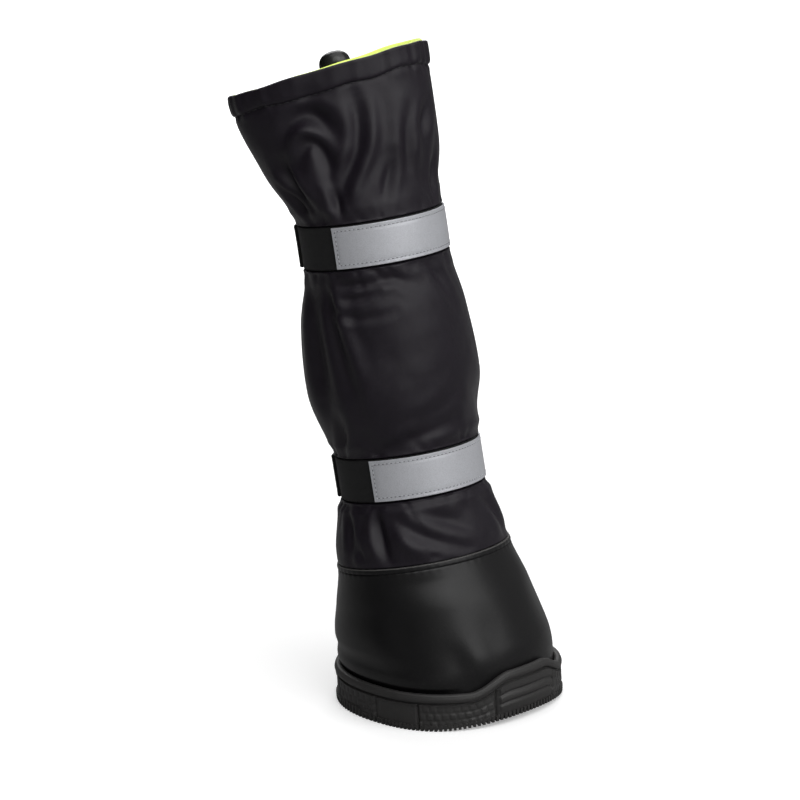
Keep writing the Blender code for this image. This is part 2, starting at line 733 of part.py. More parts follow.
def make_cord_stop():
    """A glossy oval stop that leans on the back rim, with a blind bore for the cord."""
    frame = stop_frame()
    levels = 8
    around = 20
    rings = []
    for level in range(levels + 1):
        climb = mix(-0.5 * math.pi * 0.82, 0.5 * math.pi * 0.90, level / levels)
        girth = math.cos(climb) ** STOP_ROUNDNESS
        rise = STOP_HEIGHT / 2 * (math.sin(climb) / math.sin(0.5 * math.pi * 0.82) + 1.0)
        rings.append([
            place(
                *frame,
                STOP_WIDTH / 2 * girth * math.cos(2.0 * math.pi * i / around),
                STOP_DEPTH / 2 * girth * math.sin(2.0 * math.pi * i / around),
                rise,
            )
            for i in range(around)
        ])
    stop = loft("cord_stop", rings, "plastic", close_ends=True)
    bore = bmesh.new()
    room = 2 * GAP
    half_x = (CORD_SPACING + CORD_DIAMETER) / 2 + room
    half_y = CORD_DIAMETER / 2 + room
    sides = 12
    deep = CORD_IN_STOP + CORD_DIAMETER / 2 + room
    loops = [
        [
            place(
                *frame, half_x * math.cos(2.0 * math.pi * i / sides),
                half_y * math.sin(2.0 * math.pi * i / sides), rise,
            )
            for i in range(sides)
        ]
        for rise in (-room, deep)
    ]
    add_block(bore, *loops)
    apply_boolean(stop, bore, "DIFFERENCE", "stop_bore")
    return stop


def cord_route():
    """Out of the hem, up along it, over in the stop's bore and back down: a narrow U."""
    half = CORD_SPACING / 2
    away = STOP_DEPTH / 2
    bend = [math.radians(angle) for angle in (0.0, 30.0, 60.0, 90.0)]
    near = CORD_STAND_OFF - away
    leg = [(half, near - GAP, -CORD_DROP)]
    leg += [
        (half, near * (1.0 - math.sin(turn)), -CORD_DROP * (0.08 + 0.92 * math.cos(turn)))
        for turn in bend
    ]
    leg.append((half, 0.0, CORD_IN_STOP - half))
    turns = 4
    arc = [
        (
            half * math.cos(math.pi * i / turns), 0.0,
            CORD_IN_STOP - half + half * math.sin(math.pi * i / turns),
        )
        for i in range(1, turns)
    ]
    return leg + arc + [(-x, y, z) for x, y, z in reversed(leg)]


def make_drawcord():
    """The doubled end of the collar's drawcord, from the hem into the stop."""
    frame = stop_frame()
    curve = bpy.data.curves.new("drawcord_line", "CURVE")
    curve.dimensions = "3D"
    curve.bevel_depth = CORD_DIAMETER / 2
    curve.bevel_resolution = 2
    curve.use_fill_caps = True
    route = cord_route()
    spline = curve.splines.new("POLY")
    spline.points.add(len(route) - 1)
    for point, local in zip(spline.points, route):
        point.co = (*place(*frame, *local), 1.0)
    helper = bpy.data.objects.new("drawcord_line", curve)
    bpy.context.scene.collection.objects.link(helper)
    graph = bpy.context.evaluated_depsgraph_get()
    mesh_data = bpy.data.meshes.new_from_object(helper.evaluated_get(graph))
    bpy.data.objects.remove(helper)
    bm = bmesh.new()
    bm.from_mesh(mesh_data)
    bmesh.ops.remove_doubles(bm, verts=bm.verts, dist=1e-6)
    return add_object("drawcord", mesh_from_bmesh("drawcord", bm), "webbing")


def main():
    for old in list(bpy.data.objects):
        bpy.data.objects.remove(old)
    make_outsole()
    make_insole()
    make_vamp()
    make_shaft()
    make_strap("strap_lower", LOWER_STRAP_HEIGHT)
    make_strap("strap_upper", UPPER_STRAP_HEIGHT)
    make_tape("tape_lower", LOWER_STRAP_HEIGHT)
    make_tape("tape_upper", UPPER_STRAP_HEIGHT)
    make_drawcord()
    make_cord_stop()


main()
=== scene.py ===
# %% [markdown]
# # A tall dog boot
# A rubber cup sole, a smooth leather bucket round the paw, and a padded nylon shaft that two
# straps draw in. The solids of the frame give every piece its size and place. This script
# gives them their looks: finer meshes, folds, stitches, tread and materials.

# %% The frame
import math
from collections import namedtuple

import bpy
import numpy as np
from mathutils import Matrix, Vector


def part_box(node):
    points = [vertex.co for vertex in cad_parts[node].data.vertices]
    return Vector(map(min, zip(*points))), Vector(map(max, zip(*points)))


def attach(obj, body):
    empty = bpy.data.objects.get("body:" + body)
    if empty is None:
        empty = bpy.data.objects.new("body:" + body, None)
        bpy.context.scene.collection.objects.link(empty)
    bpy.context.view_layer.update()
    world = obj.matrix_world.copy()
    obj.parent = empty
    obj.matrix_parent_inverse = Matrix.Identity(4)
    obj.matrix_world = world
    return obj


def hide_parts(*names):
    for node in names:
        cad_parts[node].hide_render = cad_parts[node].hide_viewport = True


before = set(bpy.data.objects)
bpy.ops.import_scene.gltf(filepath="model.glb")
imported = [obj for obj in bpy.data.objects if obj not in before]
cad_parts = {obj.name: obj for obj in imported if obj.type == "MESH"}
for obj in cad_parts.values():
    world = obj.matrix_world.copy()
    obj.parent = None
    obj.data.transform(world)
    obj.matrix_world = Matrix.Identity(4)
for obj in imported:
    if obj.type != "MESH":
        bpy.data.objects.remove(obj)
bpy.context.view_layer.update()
SCENE = bpy.context.scene
MM = 0.001

# %% [markdown]
# ## The camera
# The boot is seen from its left front, so the camera stands at azimuth -45 degrees and a
# little above. A long lens from far away keeps the shaft's sides nearly parallel. A small
# roll makes the shaft lean a little more to the left. The standard view transform keeps
# black cloth black.

# %% The camera
VIEW_AZIMUTH = -45.0
VIEW_ELEVATION = 15.0
VIEW_ROLL = math.radians(-3.0)
VIEW_DISTANCE = 1.8
VIEW_TARGET = Vector((-0.009, 0.009, 0.124))
VIEW_HEIGHT = 0.318


def add_object(name, data):
    """A new object of the scene."""
    made = bpy.data.objects.new(name, data)
    SCENE.collection.objects.link(made)
    return made


def direction(azimuth, elevation):
    """Towards a place that is seen at an azimuth and an elevation, in degrees."""
    turn, rise = math.radians(azimuth), math.radians(elevation)
    return Vector((math.sin(turn) * math.cos(rise), -math.cos(turn) * math.cos(rise), math.sin(rise)))


def looking_at(target, away, distance):
    """The matrix of a camera or a light that stands away from a target and looks at it."""
    turn = away.to_track_quat("Z", "Y").to_matrix().to_4x4()
    return Matrix.Translation(target + away * distance) @ turn


def make_camera():
    """A camera that looks at the target from the view's angles."""
    data = bpy.data.cameras.new("view")
    data.sensor_fit = "HORIZONTAL"
    data.sensor_width = 36.0
    data.lens = data.sensor_width * VIEW_DISTANCE / VIEW_HEIGHT
    data.clip_start = 0.01
    made = add_object("view", data)
    view = looking_at(VIEW_TARGET, direction(VIEW_AZIMUTH, VIEW_ELEVATION), VIEW_DISTANCE)
    made.matrix_world = view @ Matrix.Rotation(VIEW_ROLL, 4, "Z")
    SCENE.camera = made
    return made


SCENE.view_settings.view_transform = "Standard"
camera = make_camera()
print("lens:", round(camera.data.lens, 1), "mm")

# %% [markdown]
# ## Small helpers for shaders
# A material is a short list of nodes. Written out, each node takes four lines of code. These
# helpers add a node, set its inputs by name or number and link it in one line, so that each
# finish below reads as a recipe.

# %% Node helpers


def add_node(tree, kind, inputs=None, **settings):
    """Add a node, set its properties, and fill or link its inputs."""
    node = tree.nodes.new(kind)
    for name, value in settings.items():
        setattr(node, name, value)
    for name, value in (inputs or {}).items():
        socket = node.inputs[name]
        if isinstance(value, bpy.types.NodeSocket):
            tree.links.new(value, socket)
        else:
            socket.default_value = value
    return node


def maths(tree, operation, *values):
    """One Math node. Each value is a number or a socket."""
    return add_node(
        tree, "ShaderNodeMath", dict(enumerate(values)), operation=operation,
    ).outputs[0]


def remap(tree, value, low, high, start, end, **settings):
    """Map a value from low and high to start and end."""
    return add_node(
        tree, "ShaderNodeMapRange", {0: value, 1: low, 2: high, 3: start, 4: end}, **settings,
    ).outputs[0]


def mix_colours(tree, share, first, second, **settings):
    return add_node(
        tree, "ShaderNodeMix", {0: share, 6: first, 7: second}, data_type="RGBA", **settings,
    ).outputs[2]


def shaded(tree, colour, factor):
    """A colour times a factor."""
    return mix_colours(tree, 1.0, colour, factor, blend_type="MULTIPLY")


# %% Texture helpers


def object_place(tree):
    """Coordinates that belong to the object."""
    return add_node(tree, "ShaderNodeTexCoord").outputs["Object"]


def object_height(tree):
    return add_node(tree, "ShaderNodeSeparateXYZ", {0: object_place(tree)}).outputs[2]


def noise(tree, scale, detail, roughness=0.5):
    return add_node(tree, "ShaderNodeTexNoise", {
        "Vector": object_place(tree), "Scale": scale, "Detail": detail, "Roughness": roughness,
    }).outputs[0]


def scattered(tree, scale, feature="F1"):
    """Distances from scattered points: pores or beads."""
    return add_node(tree, "ShaderNodeTexVoronoi", {
        "Vector": object_place(tree), "Scale": scale,
    }, feature=feature).outputs["Distance"]


def plies(tree, scale):
    """Slanted waves, as of threads that are wound round each other."""
    return add_node(tree, "ShaderNodeTexWave", {
        "Vector": object_place(tree), "Scale": scale, "Distortion": 1.0,
    }, bands_direction="DIAGONAL").outputs["Fac"]


# %% A helper for node trees


def new_tree(name, kind, inputs, outputs):
    """A node tree with named sockets. An input is a name, a kind and perhaps a default."""
    tree = bpy.data.node_groups.new(name, kind)
    for label, socket_kind, *default in inputs:
        socket = tree.interface.new_socket(label, in_out="INPUT", socket_type="NodeSocket" + socket_kind)
        if default:
            socket.default_value = default[0]
    for label, socket_kind in outputs:
        tree.interface.new_socket(label, in_out="OUTPUT", socket_type="NodeSocket" + socket_kind)
    return tree, tree.nodes.new("NodeGroupInput").outputs, tree.nodes.new("NodeGroupOutput").inputs


# %% [markdown]
# ## Woven cloth as a group
# Nylon, webbing, lining, cord and the insole's cover are woven. In a plain weave each thread
# passes over one and under the next. The group turns a piece's own UV map, which is in
# metres, into a height for bump and for painted shade, low threads darker. A tiled picture
# of cloth could do this too, but a rule has no seams and stays sharp close up. A twist moves
# each row a little to the side, which gives the diagonal of a twill.

# %% The weave group


def build_weave():
    tree, given, result = new_tree("woven cloth", "ShaderNodeTree", [
        ("Thread", "Float", 0.4 * MM), ("Twist", "Float", 0.0),
    ], [("Height", "Float")])
    uv = add_node(tree, "ShaderNodeUVMap", uv_map="cloth").outputs[0]
    split = add_node(tree, "ShaderNodeSeparateXYZ", {0: uv}).outputs
    across = maths(tree, "DIVIDE", split[0], given["Thread"])
    along = maths(tree, "DIVIDE", split[1], given["Thread"])
    across = maths(tree, "MULTIPLY_ADD", along, given["Twist"], across)
    cells = maths(tree, "ADD", maths(tree, "FLOOR", across), maths(tree, "FLOOR", along))
    over = maths(tree, "FLOORED_MODULO", cells, 2.0)
    threads = [
        maths(tree, "ABSOLUTE", maths(tree, "SINE", maths(tree, "MULTIPLY", way, math.pi)))
        for way in (across, along)
    ]
    warp_top, weft_top = (
        maths(tree, "MULTIPLY", maths(tree, "SQRT", thread), maths(tree, "MULTIPLY_ADD", other, 0.5, 0.5))
        for thread, other in (threads, threads[::-1])
    )
    blend = add_node(tree, "ShaderNodeMix", {0: over, 2: weft_top, 3: warp_top}).outputs[0]
    tree.links.new(blend, result["Height"])
    return tree


WEAVE = build_weave()

# %% [markdown]
# ## Mottling and dust as groups
# No real surface has one even tone. Mottling mixes two sizes of noise into a slow variation
# around one. Dust is a pale mask that is stronger near the floor, where a boot picks it up.
# Both are groups, because several materials use them with their own sizes. They read Object
# coordinates, so nothing slides when a piece moves.

# %% The mottling group
FINER_MOTTLE = 5.3


def build_mottle():
    tree, given, result = new_tree("mottling", "ShaderNodeTree", [
        ("Size", "Float", 12 * MM), ("Amount", "Float", 0.2),
    ], [("Factor", "Float")])
    often = maths(tree, "DIVIDE", 1.0, given["Size"])
    finer = maths(tree, "MULTIPLY", often, FINER_MOTTLE)
    both = maths(tree, "ADD", noise(tree, often, 3.0), noise(tree, finer, 4.0))
    swing = maths(tree, "SUBTRACT", both, 1.0)
    tree.links.new(maths(tree, "MULTIPLY_ADD", swing, given["Amount"], 1.0), result["Factor"])
    return tree


MOTTLE = build_mottle()

# %% The dust group
DUST_HIGH_UP = 0.15
SPECK_SCALE = 900.0
PATCH_SCALE = 90.0


def build_dust():
    tree, given, result = new_tree("dust near the floor", "ShaderNodeTree", [
        ("Reach", "Float", 20 * MM), ("Amount", "Float", 0.3),
    ], [("Mask", "Float")])
    low = remap(tree, object_height(tree), 0.0, given["Reach"], 1.0, DUST_HIGH_UP)
    grains = remap(tree, noise(tree, SPECK_SCALE, 3.0, 0.7), 0.5, 0.72, 0.0, 1.0)
    cover = maths(tree, "MULTIPLY", grains, noise(tree, PATCH_SCALE, 2.0))
    mask = maths(tree, "MULTIPLY", maths(tree, "MULTIPLY", cover, low), given["Amount"])
    tree.links.new(mask, result["Mask"])
    return tree


DUST = build_dust()
print("shader groups:", [group.name for group in bpy.data.node_groups])

# %% [markdown]
# ## The materials
# Each finish starts from its colour and roughness. A recipe then adds what the real one
# shows: the weave of nylon, the fine pores of leather, the dull skin of moulded rubber and
# the glass beads of reflective tape. The weave also gets painted shade between its threads,
# and the beads painted glints. Black finishes differ mostly in how they shine, so their
# roughness and their bumps matter more than their colours. The lining glows a little near
# the rim as painted light, and the glow fades down the shaft as painted shade.

# %% One maker for all finishes


def use_group(tree, group, **values):
    """Place a shader group and fill its inputs. Underscores stand for spaces."""
    node = add_node(tree, "ShaderNodeGroup", node_tree=group)
    for name, value in values.items():
        node.inputs[name.replace("_", " ")].default_value = value
    return node.outputs


def finish(name, colour, roughness, **sockets):
    """A Principled material. Constant sockets are given by name."""
    material = bpy.data.materials.new(name)
    material.use_nodes = True
    tree = material.node_tree
    shader = tree.nodes["Principled BSDF"]
    shader.inputs["Base Color"].default_value = (*colour, 1.0)
    shader.inputs["Roughness"].default_value = roughness
    for label, value in sockets.items():
        shader.inputs[label.replace("_", " ")].default_value = value
    return material, tree, shader


def vary(tree, shader, colour, roughness, size, amount, rough_swing=0.12):
    """Let the colour and the roughness drift a little over the surface."""
    factor = use_group(tree, MOTTLE, Size=size, Amount=amount)["Factor"]
    tint = shaded(tree, (*colour, 1.0), factor)
    tree.links.new(tint, shader.inputs["Base Color"])
    swing = maths(tree, "MULTIPLY_ADD", maths(tree, "SUBTRACT", factor, 1.0),
                  rough_swing / max(amount, 0.01), roughness)
    tree.links.new(swing, shader.inputs["Roughness"])
    return tint


# %% Bumps and dust


def emboss(tree, shader, height, distance, strength=1.0, under=None):
    """Feed a height into the normal, over an earlier bump if there is one."""
    inputs = {"Height": height, "Distance": distance, "Strength": strength}
    if under is not None:
        inputs["Normal"] = under
    bump = add_node(tree, "ShaderNodeBump", inputs).outputs[0]
    tree.links.new(bump, shader.inputs["Normal"])
    return bump


def dusted(tree, shader, tint, reach, amount, dust_colour=(0.20, 0.19, 0.17)):
    """Lay pale dust over a colour."""
    mask = use_group(tree, DUST, Reach=reach, Amount=amount)["Mask"]
    mixed = mix_colours(tree, mask, tint, (*dust_colour, 1.0))
    tree.links.new(mixed, shader.inputs["Base Color"])


# %% Cloth finishes
CLOTH_MOTTLE_SIZE = 14 * MM
# Painted shade of the weave: low threads are painted darker, top threads a little lighter.
DEEP_THREAD_PAINTED_SHADE = 0.72
TOP_THREAD_PAINTED_LIGHT = 1.06
RUMPLE_SCALE = 70.0


def make_cloth(name, colour, roughness, thread, depth, twist=0.0, mottle=0.25, rumple=0.0,
               **sockets):
    """A woven finish: thread size, depth and rumple in metres."""
    material, tree, shader = finish(name, colour, roughness, **sockets)
    tint = vary(tree, shader, colour, roughness, CLOTH_MOTTLE_SIZE, mottle)
    weave = use_group(tree, WEAVE, Thread=thread, Twist=twist)
    # Painted shade: the weave's height darkens its low threads and lightens its top ones in the base colour.
    weave_painted_shade = remap(tree, weave["Height"], 0.0, 1.0, DEEP_THREAD_PAINTED_SHADE, TOP_THREAD_PAINTED_LIGHT)
    tree.links.new(shaded(tree, tint, weave_painted_shade), shader.inputs["Base Color"])
    soft = emboss(tree, shader, noise(tree, RUMPLE_SCALE, 1.0), rumple) if rumple else None
    emboss(tree, shader, weave["Height"], depth, under=soft)
    return material


NYLON = make_cloth(
    "nylon", (0.0096, 0.0068, 0.0118), 0.42, 0.32 * MM, 0.035 * MM, twist=0.5, rumple=1.1 * MM,
    Sheen_Weight=0.02, Sheen_Roughness=0.45, Specular_IOR_Level=0.30,
)
# The lining's emission colour is for its painted light near the rim.
LINING = make_cloth(
    "lining", (0.66, 0.72, 0.24), 0.80, 0.30 * MM, 0.04 * MM, mottle=0.10,
    Emission_Color=(0.66, 0.80, 0.17, 1.0), Sheen_Weight=0.2,
)


# %% The lining's painted light


def paint_light_near_rim(material, low, high, strength):
    """Painted light near the rim: the lining glows there, and the glow fades down the shaft as painted
    shade.
    """
    tree = material.node_tree
    fade = remap(tree, object_height(tree), low, high, 0.0, strength, interpolation_type="SMOOTHSTEP")
    tree.links.new(fade, tree.nodes["Principled BSDF"].inputs["Emission Strength"])


paint_light_near_rim(LINING, low=205 * MM, high=246 * MM, strength=0.60)

# %% Webbing, cord and insole cloth
WEBBING = make_cloth(
    "webbing", (0.0085, 0.0085, 0.0090), 0.82, 0.55 * MM, 0.10 * MM,
    Specular_IOR_Level=0.30, Sheen_Weight=0.06,
)
CORD = make_cloth(
    "cord", (0.012, 0.012, 0.012), 0.70, 0.45 * MM, 0.10 * MM, twist=1.0,
    Specular_IOR_Level=0.35,
)
INSOLE_CLOTH = make_cloth(
    "insole_cloth", (0.030, 0.030, 0.031), 0.85, 0.40 * MM, 0.06 * MM, Sheen_Weight=0.1,
)

print("cloth finishes:", [cloth.name for cloth in (NYLON, LINING, WEBBING, CORD, INSOLE_CLOTH)])

# %% Makers for tape, thread and plain finishes


def make_plain(name, colour, roughness, mottle, bumps, dust=None, **sockets):
    """A finish without a weave: mottling, dust, and bumps from coarse to fine."""
    material, tree, shader = finish(name, colour, roughness, **sockets)
    tint = vary(tree, shader, colour, roughness, *mottle)
    if dust:
        dusted(tree, shader, tint, *dust)
    normal = None
    for texture, settings, distance, strength in bumps:
        normal = emboss(tree, shader, texture(tree, *settings), distance, strength, normal)
    return material


def make_tape_finish():
    """Silver reflective tape: a dull grey cloth under a layer of glass beads."""
    colour = (0.565, 0.575, 0.610)
    material, tree, shader = finish(
        "reflective_tape", colour, 0.42, Metallic=0.25, Specular_IOR_Level=0.55,
    )
    tint = vary(tree, shader, colour, 0.42, 9 * MM, 0.10, 0.05)
    # Painted glints: each glass bead's centre is painted lighter and its rim darker in the base colour.
    beads = scattered(tree, 3800.0)
    painted_glint = remap(tree, beads, 0.0, 0.7, 1.10, 0.82)
    tree.links.new(shaded(tree, tint, painted_glint), shader.inputs["Base Color"])
    emboss(tree, shader, beads, 0.03 * MM, 0.6)
    return material


def make_thread_or_painted_mark(name, colour):
    """Sewing thread: two plies wound round each other. The same finish gives the painted hole shade and the
    welt's painted highlight.
    """
    return make_plain(name, colour, 0.65, (5 * MM, 0.15), [(plies, (1500.0,), 0.05 * MM, 0.8)])


# %% Leather, rubber, plastic, tape, threads and painted marks
LEATHER = make_plain("leather", (0.0055, 0.0053, 0.0057), 0.37, (22 * MM, 0.18, 0.06), [
    (noise, (210.0, 4.0, 0.55), 0.10 * MM, 0.5),
    (scattered, (1900.0, "SMOOTH_F1"), 0.018 * MM, 0.6),
], dust=(30 * MM, 0.10), Specular_IOR_Level=0.30)
RUBBER = make_plain("rubber", (0.0290, 0.0280, 0.0275), 0.54, (9 * MM, 0.30, 0.10), [
    (noise, (160.0, 3.0), 0.12 * MM, 0.5), (noise, (1600.0, 2.0), 0.03 * MM, 0.7),
], dust=(16 * MM, 0.14), Specular_IOR_Level=0.45)
GLOSS = make_plain("stop_plastic", (0.0060, 0.0060, 0.0062), 0.27, (6 * MM, 0.2, 0.06), [
    (noise, (420.0, 5.0), 0.02 * MM, 0.5),
], Specular_IOR_Level=0.50)
TAPE = make_tape_finish()
TAPE_THREAD = make_thread_or_painted_mark("tape_thread", (0.56, 0.57, 0.60))
BLACK_THREAD = make_thread_or_painted_mark("black_thread", (0.020, 0.020, 0.022))
# Painted shade: dark dots along the tape's stitch line stand for the shade in the needle holes.
PAINTED_HOLE_SHADE = make_thread_or_painted_mark("needle_hole", (0.11, 0.11, 0.12))
# Painted highlight: the top of the leather's welt is painted paler, as if lit along the seam.
WELT_PAINTED_HIGHLIGHT = make_thread_or_painted_mark("cut_edge", (0.070, 0.068, 0.066))
print("materials:", len(bpy.data.materials))

# %% [markdown]
# ## The sizes of the boot
# The solids were lofted through a few named sections: the sole's outline, the bucket's bulge
# and instep, and the shaft's puffs and waists. The same sections are written here again, so
# that each finer surface lies on its solid. Around is an angle in degrees: 0 at the toe, 90
# at the +X side and 180 at the heel.

# %% Sizes of the sole
SOLE_LENGTH = 92 * MM
SOLE_WIDTH = 84 * MM
BALL_FROM_TOE = 40 * MM
BALL_Y = -SOLE_LENGTH / 2 + BALL_FROM_TOE
SOLE_SQUARENESS = 2.2
TREAD_DEPTH = 1.7 * MM
PLATE_THICKNESS = 5.0 * MM
FLOOR_TOP = TREAD_DEPTH + PLATE_THICKNESS
CUP_HEIGHT = 15 * MM
CUP_WALL = 2.7 * MM
TOE_WAVE_RISE = 6.2 * MM
WAVE_FLAT_ANGLE = 12.0
WAVE_END_ANGLE = 38.0
TOE_SPRING = 3.0 * MM
TOE_SPRING_LENGTH = 22 * MM
HEEL_SPRING = 1.4 * MM
HEEL_SPRING_LENGTH = 12 * MM
ARCH_RISE = 1.2 * MM
ARCH_LENGTH = 13 * MM
ARCH_BACK_OF_MIDDLE = 15 * MM
LIP_HEIGHT = 3.2 * MM
LIP_ROUNDING = 0.8 * MM
SIDE_GROOVE_HEIGHT = 1.2 * MM
SIDE_GROOVE_DEPTH = 1.0 * MM

print("sole, mm:", SOLE_LENGTH / MM, "by", SOLE_WIDTH / MM, "and its cup", CUP_HEIGHT / MM, "high")

# %% Sizes of the upper, the straps and the collar
GAP = 0.3 * MM
FOXING_INSET = CUP_WALL + GAP
INSOLE_THICKNESS = 3.0 * MM
VAMP_WALL = 1.8 * MM
SHAFT_WALL = 2.4 * MM
SEAM_HEIGHT = 60 * MM
SEAM_LAP = 8 * MM
SHAFT_WIDTH = 64.5 * MM
SHAFT_SET_BACK = 9.5 * MM
SHAFT_LEAN = math.tan(math.radians(8.5))
SHAFT_STEP = 0.2 * MM
COLLAR_HEIGHT = 254 * MM
COLLAR_WIDTH = 79 * MM
COLLAR_DEPTH = 43 * MM
COLLAR_TURN = math.radians(-44.0)
COLLAR_SHIFT = 7.5 * MM
COLLAR_DIP_SIDE = -0.02
COLLAR_DIP_BACK = 0.32
HEM_WIDTH = 8 * MM
HEM_PROUD = 0.8 * MM
STRAP_HEIGHTS = {"lower": 94 * MM, "upper": 187 * MM}
STRAP_WIDTH = 17 * MM
STRAP_THICKNESS = 1.6 * MM
STRAP_ROOM = 1.0 * MM
print("collar at", COLLAR_HEIGHT / MM, "mm, straps at", [height / MM for height in STRAP_HEIGHTS.values()])

# %% [markdown]
# ## One function for the whole upper
# A ring is an oval section with its own height, centre, half axes, turn and dip. Between the
# named rings every value runs along a smooth curve that never overshoots, so the upper is
# one continuous surface. Any point of it is found from a height, an angle and a distance
# outwards, and with numpy a whole grid of points is found in one call.

# %% Rings and rows
Ring = namedtuple("Ring", "height centre_x centre_y half_width front back turn dip_x dip_y square")
VampRow = namedtuple("VampRow", "name rise width toe heel")
ShaftRow = namedtuple("ShaftRow", "name span share size foot flare")

VAMP_ROWS = (
    VampRow("bulge", 0.30, 0.965, 0.905, 0.962),
    VampRow("instep", 0.64, 0.915, 0.745, 0.955),
    VampRow("seam", 1.00, 0.855, 0.530, 0.925),
)
SHAFT_ROWS = (
    ShaftRow("first puff", "ankle", 0.25, 0.99, 0.90, 0.0),
    ShaftRow("hollow", "ankle", 0.60, 0.95, 0.45, 0.0),
    ShaftRow("under the strap", "ankle", 0.86, 0.91, 0.10, 0.0),
    ShaftRow("lower waist", "lower strap", 0.00, 0.835, 0.0, 0.0),
    ShaftRow("lower waist top", "lower strap", 1.00, 0.835, 0.0, 0.0),
    ShaftRow("over the strap", "calf", 0.07, 0.93, 0.0, 0.0),
    ShaftRow("calf", "calf", 0.35, 1.06, 0.0, 0.0),
    ShaftRow("upper calf", "calf", 0.70, 1.02, 0.0, 0.0),
    ShaftRow("under the upper strap", "calf", 0.93, 0.91, 0.0, 0.0),
    ShaftRow("upper waist", "upper strap", 0.00, 0.84, 0.0, 0.0),
    ShaftRow("upper waist top", "upper strap", 1.00, 0.84, 0.0, 0.0),
    ShaftRow("over the upper strap", "cuff", 0.10, 0.91, 0.0, 0.12),
    ShaftRow("flare", "cuff", 0.45, 1.00, 0.0, 0.52),
    ShaftRow("hem line", "cuff", 0.82, 1.00, 0.0, 0.93),
    ShaftRow("collar", "cuff", 1.00, 1.00, 0.0, 1.0),
)

# %% Smooth steps and curves


def smooth(value):
    """Ease from 0 to 1 as value goes from 0 to 1."""
    value = np.clip(value, 0.0, 1.0)
    return value * value * (3.0 - 2.0 * value)


def mix(start, end, share):
    return start + (end - start) * share


def hump(distance, width):
    """A soft bump of height 1."""
    return np.exp(-(distance / width) ** 2)


def waves_around(around, waves):
    """Waves round the leg. Each one has a count, a phase and a size."""
    return sum(size * np.sin(np.radians(around) * count + phase) for count, phase, size in waves)


def turned(around, middle):
    """Degrees from the middle, between -180 and 180."""
    return (around - middle + 180.0) % 360.0 - 180.0


def monotone(knots, values, position):
    """A smooth curve through the values that never swings past them."""
    knots = np.asarray(knots, dtype=float)
    values = np.asarray(values, dtype=float)
    steps = np.diff(knots)
    slopes = np.diff(values) / steps
    tangents = np.zeros(len(knots))
    product = slopes[:-1] * slopes[1:]
    total = np.where(product > 0.0, slopes[:-1] + slopes[1:], 1.0)
    tangents[1:-1] = np.where(product > 0.0, 2.0 * product / total, 0.0)
    position = np.clip(position, knots[0], knots[-1])
    i = np.clip(np.searchsorted(knots, position, side="right") - 1, 0, len(steps) - 1)
    t = (position - knots[i]) / steps[i]
    pull = tangents[i] * t * (1.0 - t) ** 2 - tangents[i + 1] * t * t * (1.0 - t)
    return mix(values[i], values[i + 1], t * t * (3.0 - 2.0 * t)) + pull * steps[i]


print("halfway between 1 and 3 on a curve from 0:", round(float(monotone((0, 1, 2), (0, 1, 3), 1.5)), 2))

# %% Sections of the sole and the upper


def oval_points(ring, around, out=0.0):
    """Points on an oval section, moved outwards by out. All values may be arrays."""
    angle = np.radians(around) - ring.turn
    side = np.sin(angle)
    ahead = np.cos(angle)
    power = ring.square
    reach = (np.abs(side) ** power + np.abs(ahead) ** power) ** (-1.0 / power)
    length = np.where(ahead > 0.0, ring.front, ring.back)
    local_x = (ring.half_width + out) * side * reach
    local_y = -(length + out) * ahead * reach
    across = local_x * np.cos(ring.turn) - local_y * np.sin(ring.turn)
    along = local_x * np.sin(ring.turn) + local_y * np.cos(ring.turn)
    height = ring.height - across * ring.dip_x - along * ring.dip_y
    return np.stack(np.broadcast_arrays(ring.centre_x + across, ring.centre_y + along, height), -1)


def sole_ring(height, inset=0.0):
    return Ring(
        height, 0.0, BALL_Y, SOLE_WIDTH / 2 - inset, BALL_FROM_TOE - inset,
        SOLE_LENGTH - BALL_FROM_TOE - inset, 0.0, 0.0, 0.0, SOLE_SQUARENESS,
    )


def shaft_spans():
    """Where each span of the shaft starts and ends."""
    half = STRAP_WIDTH / 2 + STRAP_ROOM
    lower, upper = STRAP_HEIGHTS["lower"], STRAP_HEIGHTS["upper"]
    return {
        "ankle": (SEAM_HEIGHT, lower - half),
        "lower strap": (lower - half, lower + half),
        "calf": (lower + half, upper - half),
        "upper strap": (upper - half, upper + half),
        "cuff": (upper + half, COLLAR_HEIGHT),
    }


SPANS = shaft_spans()
print("spans, mm:", {name: (round(low / MM, 1), round(high / MM, 1)) for name, (low, high) in SPANS.items()})


# %% Rings of the bucket and the shaft


def vamp_ring(row):
    toe_y = -row.toe * SOLE_LENGTH / 2
    heel_y = row.heel * SOLE_LENGTH / 2
    centre_y = mix(BALL_Y, SHAFT_SET_BACK, row.rise)
    return Ring(
        mix(CUP_HEIGHT, SEAM_HEIGHT, row.rise), 0.0, centre_y, row.width * SOLE_WIDTH / 2,
        centre_y - toe_y, heel_y - centre_y, 0.0, 0.0, SHAFT_LEAN * smooth(row.rise),
        mix(SOLE_SQUARENESS, 2.0, row.rise),
    )


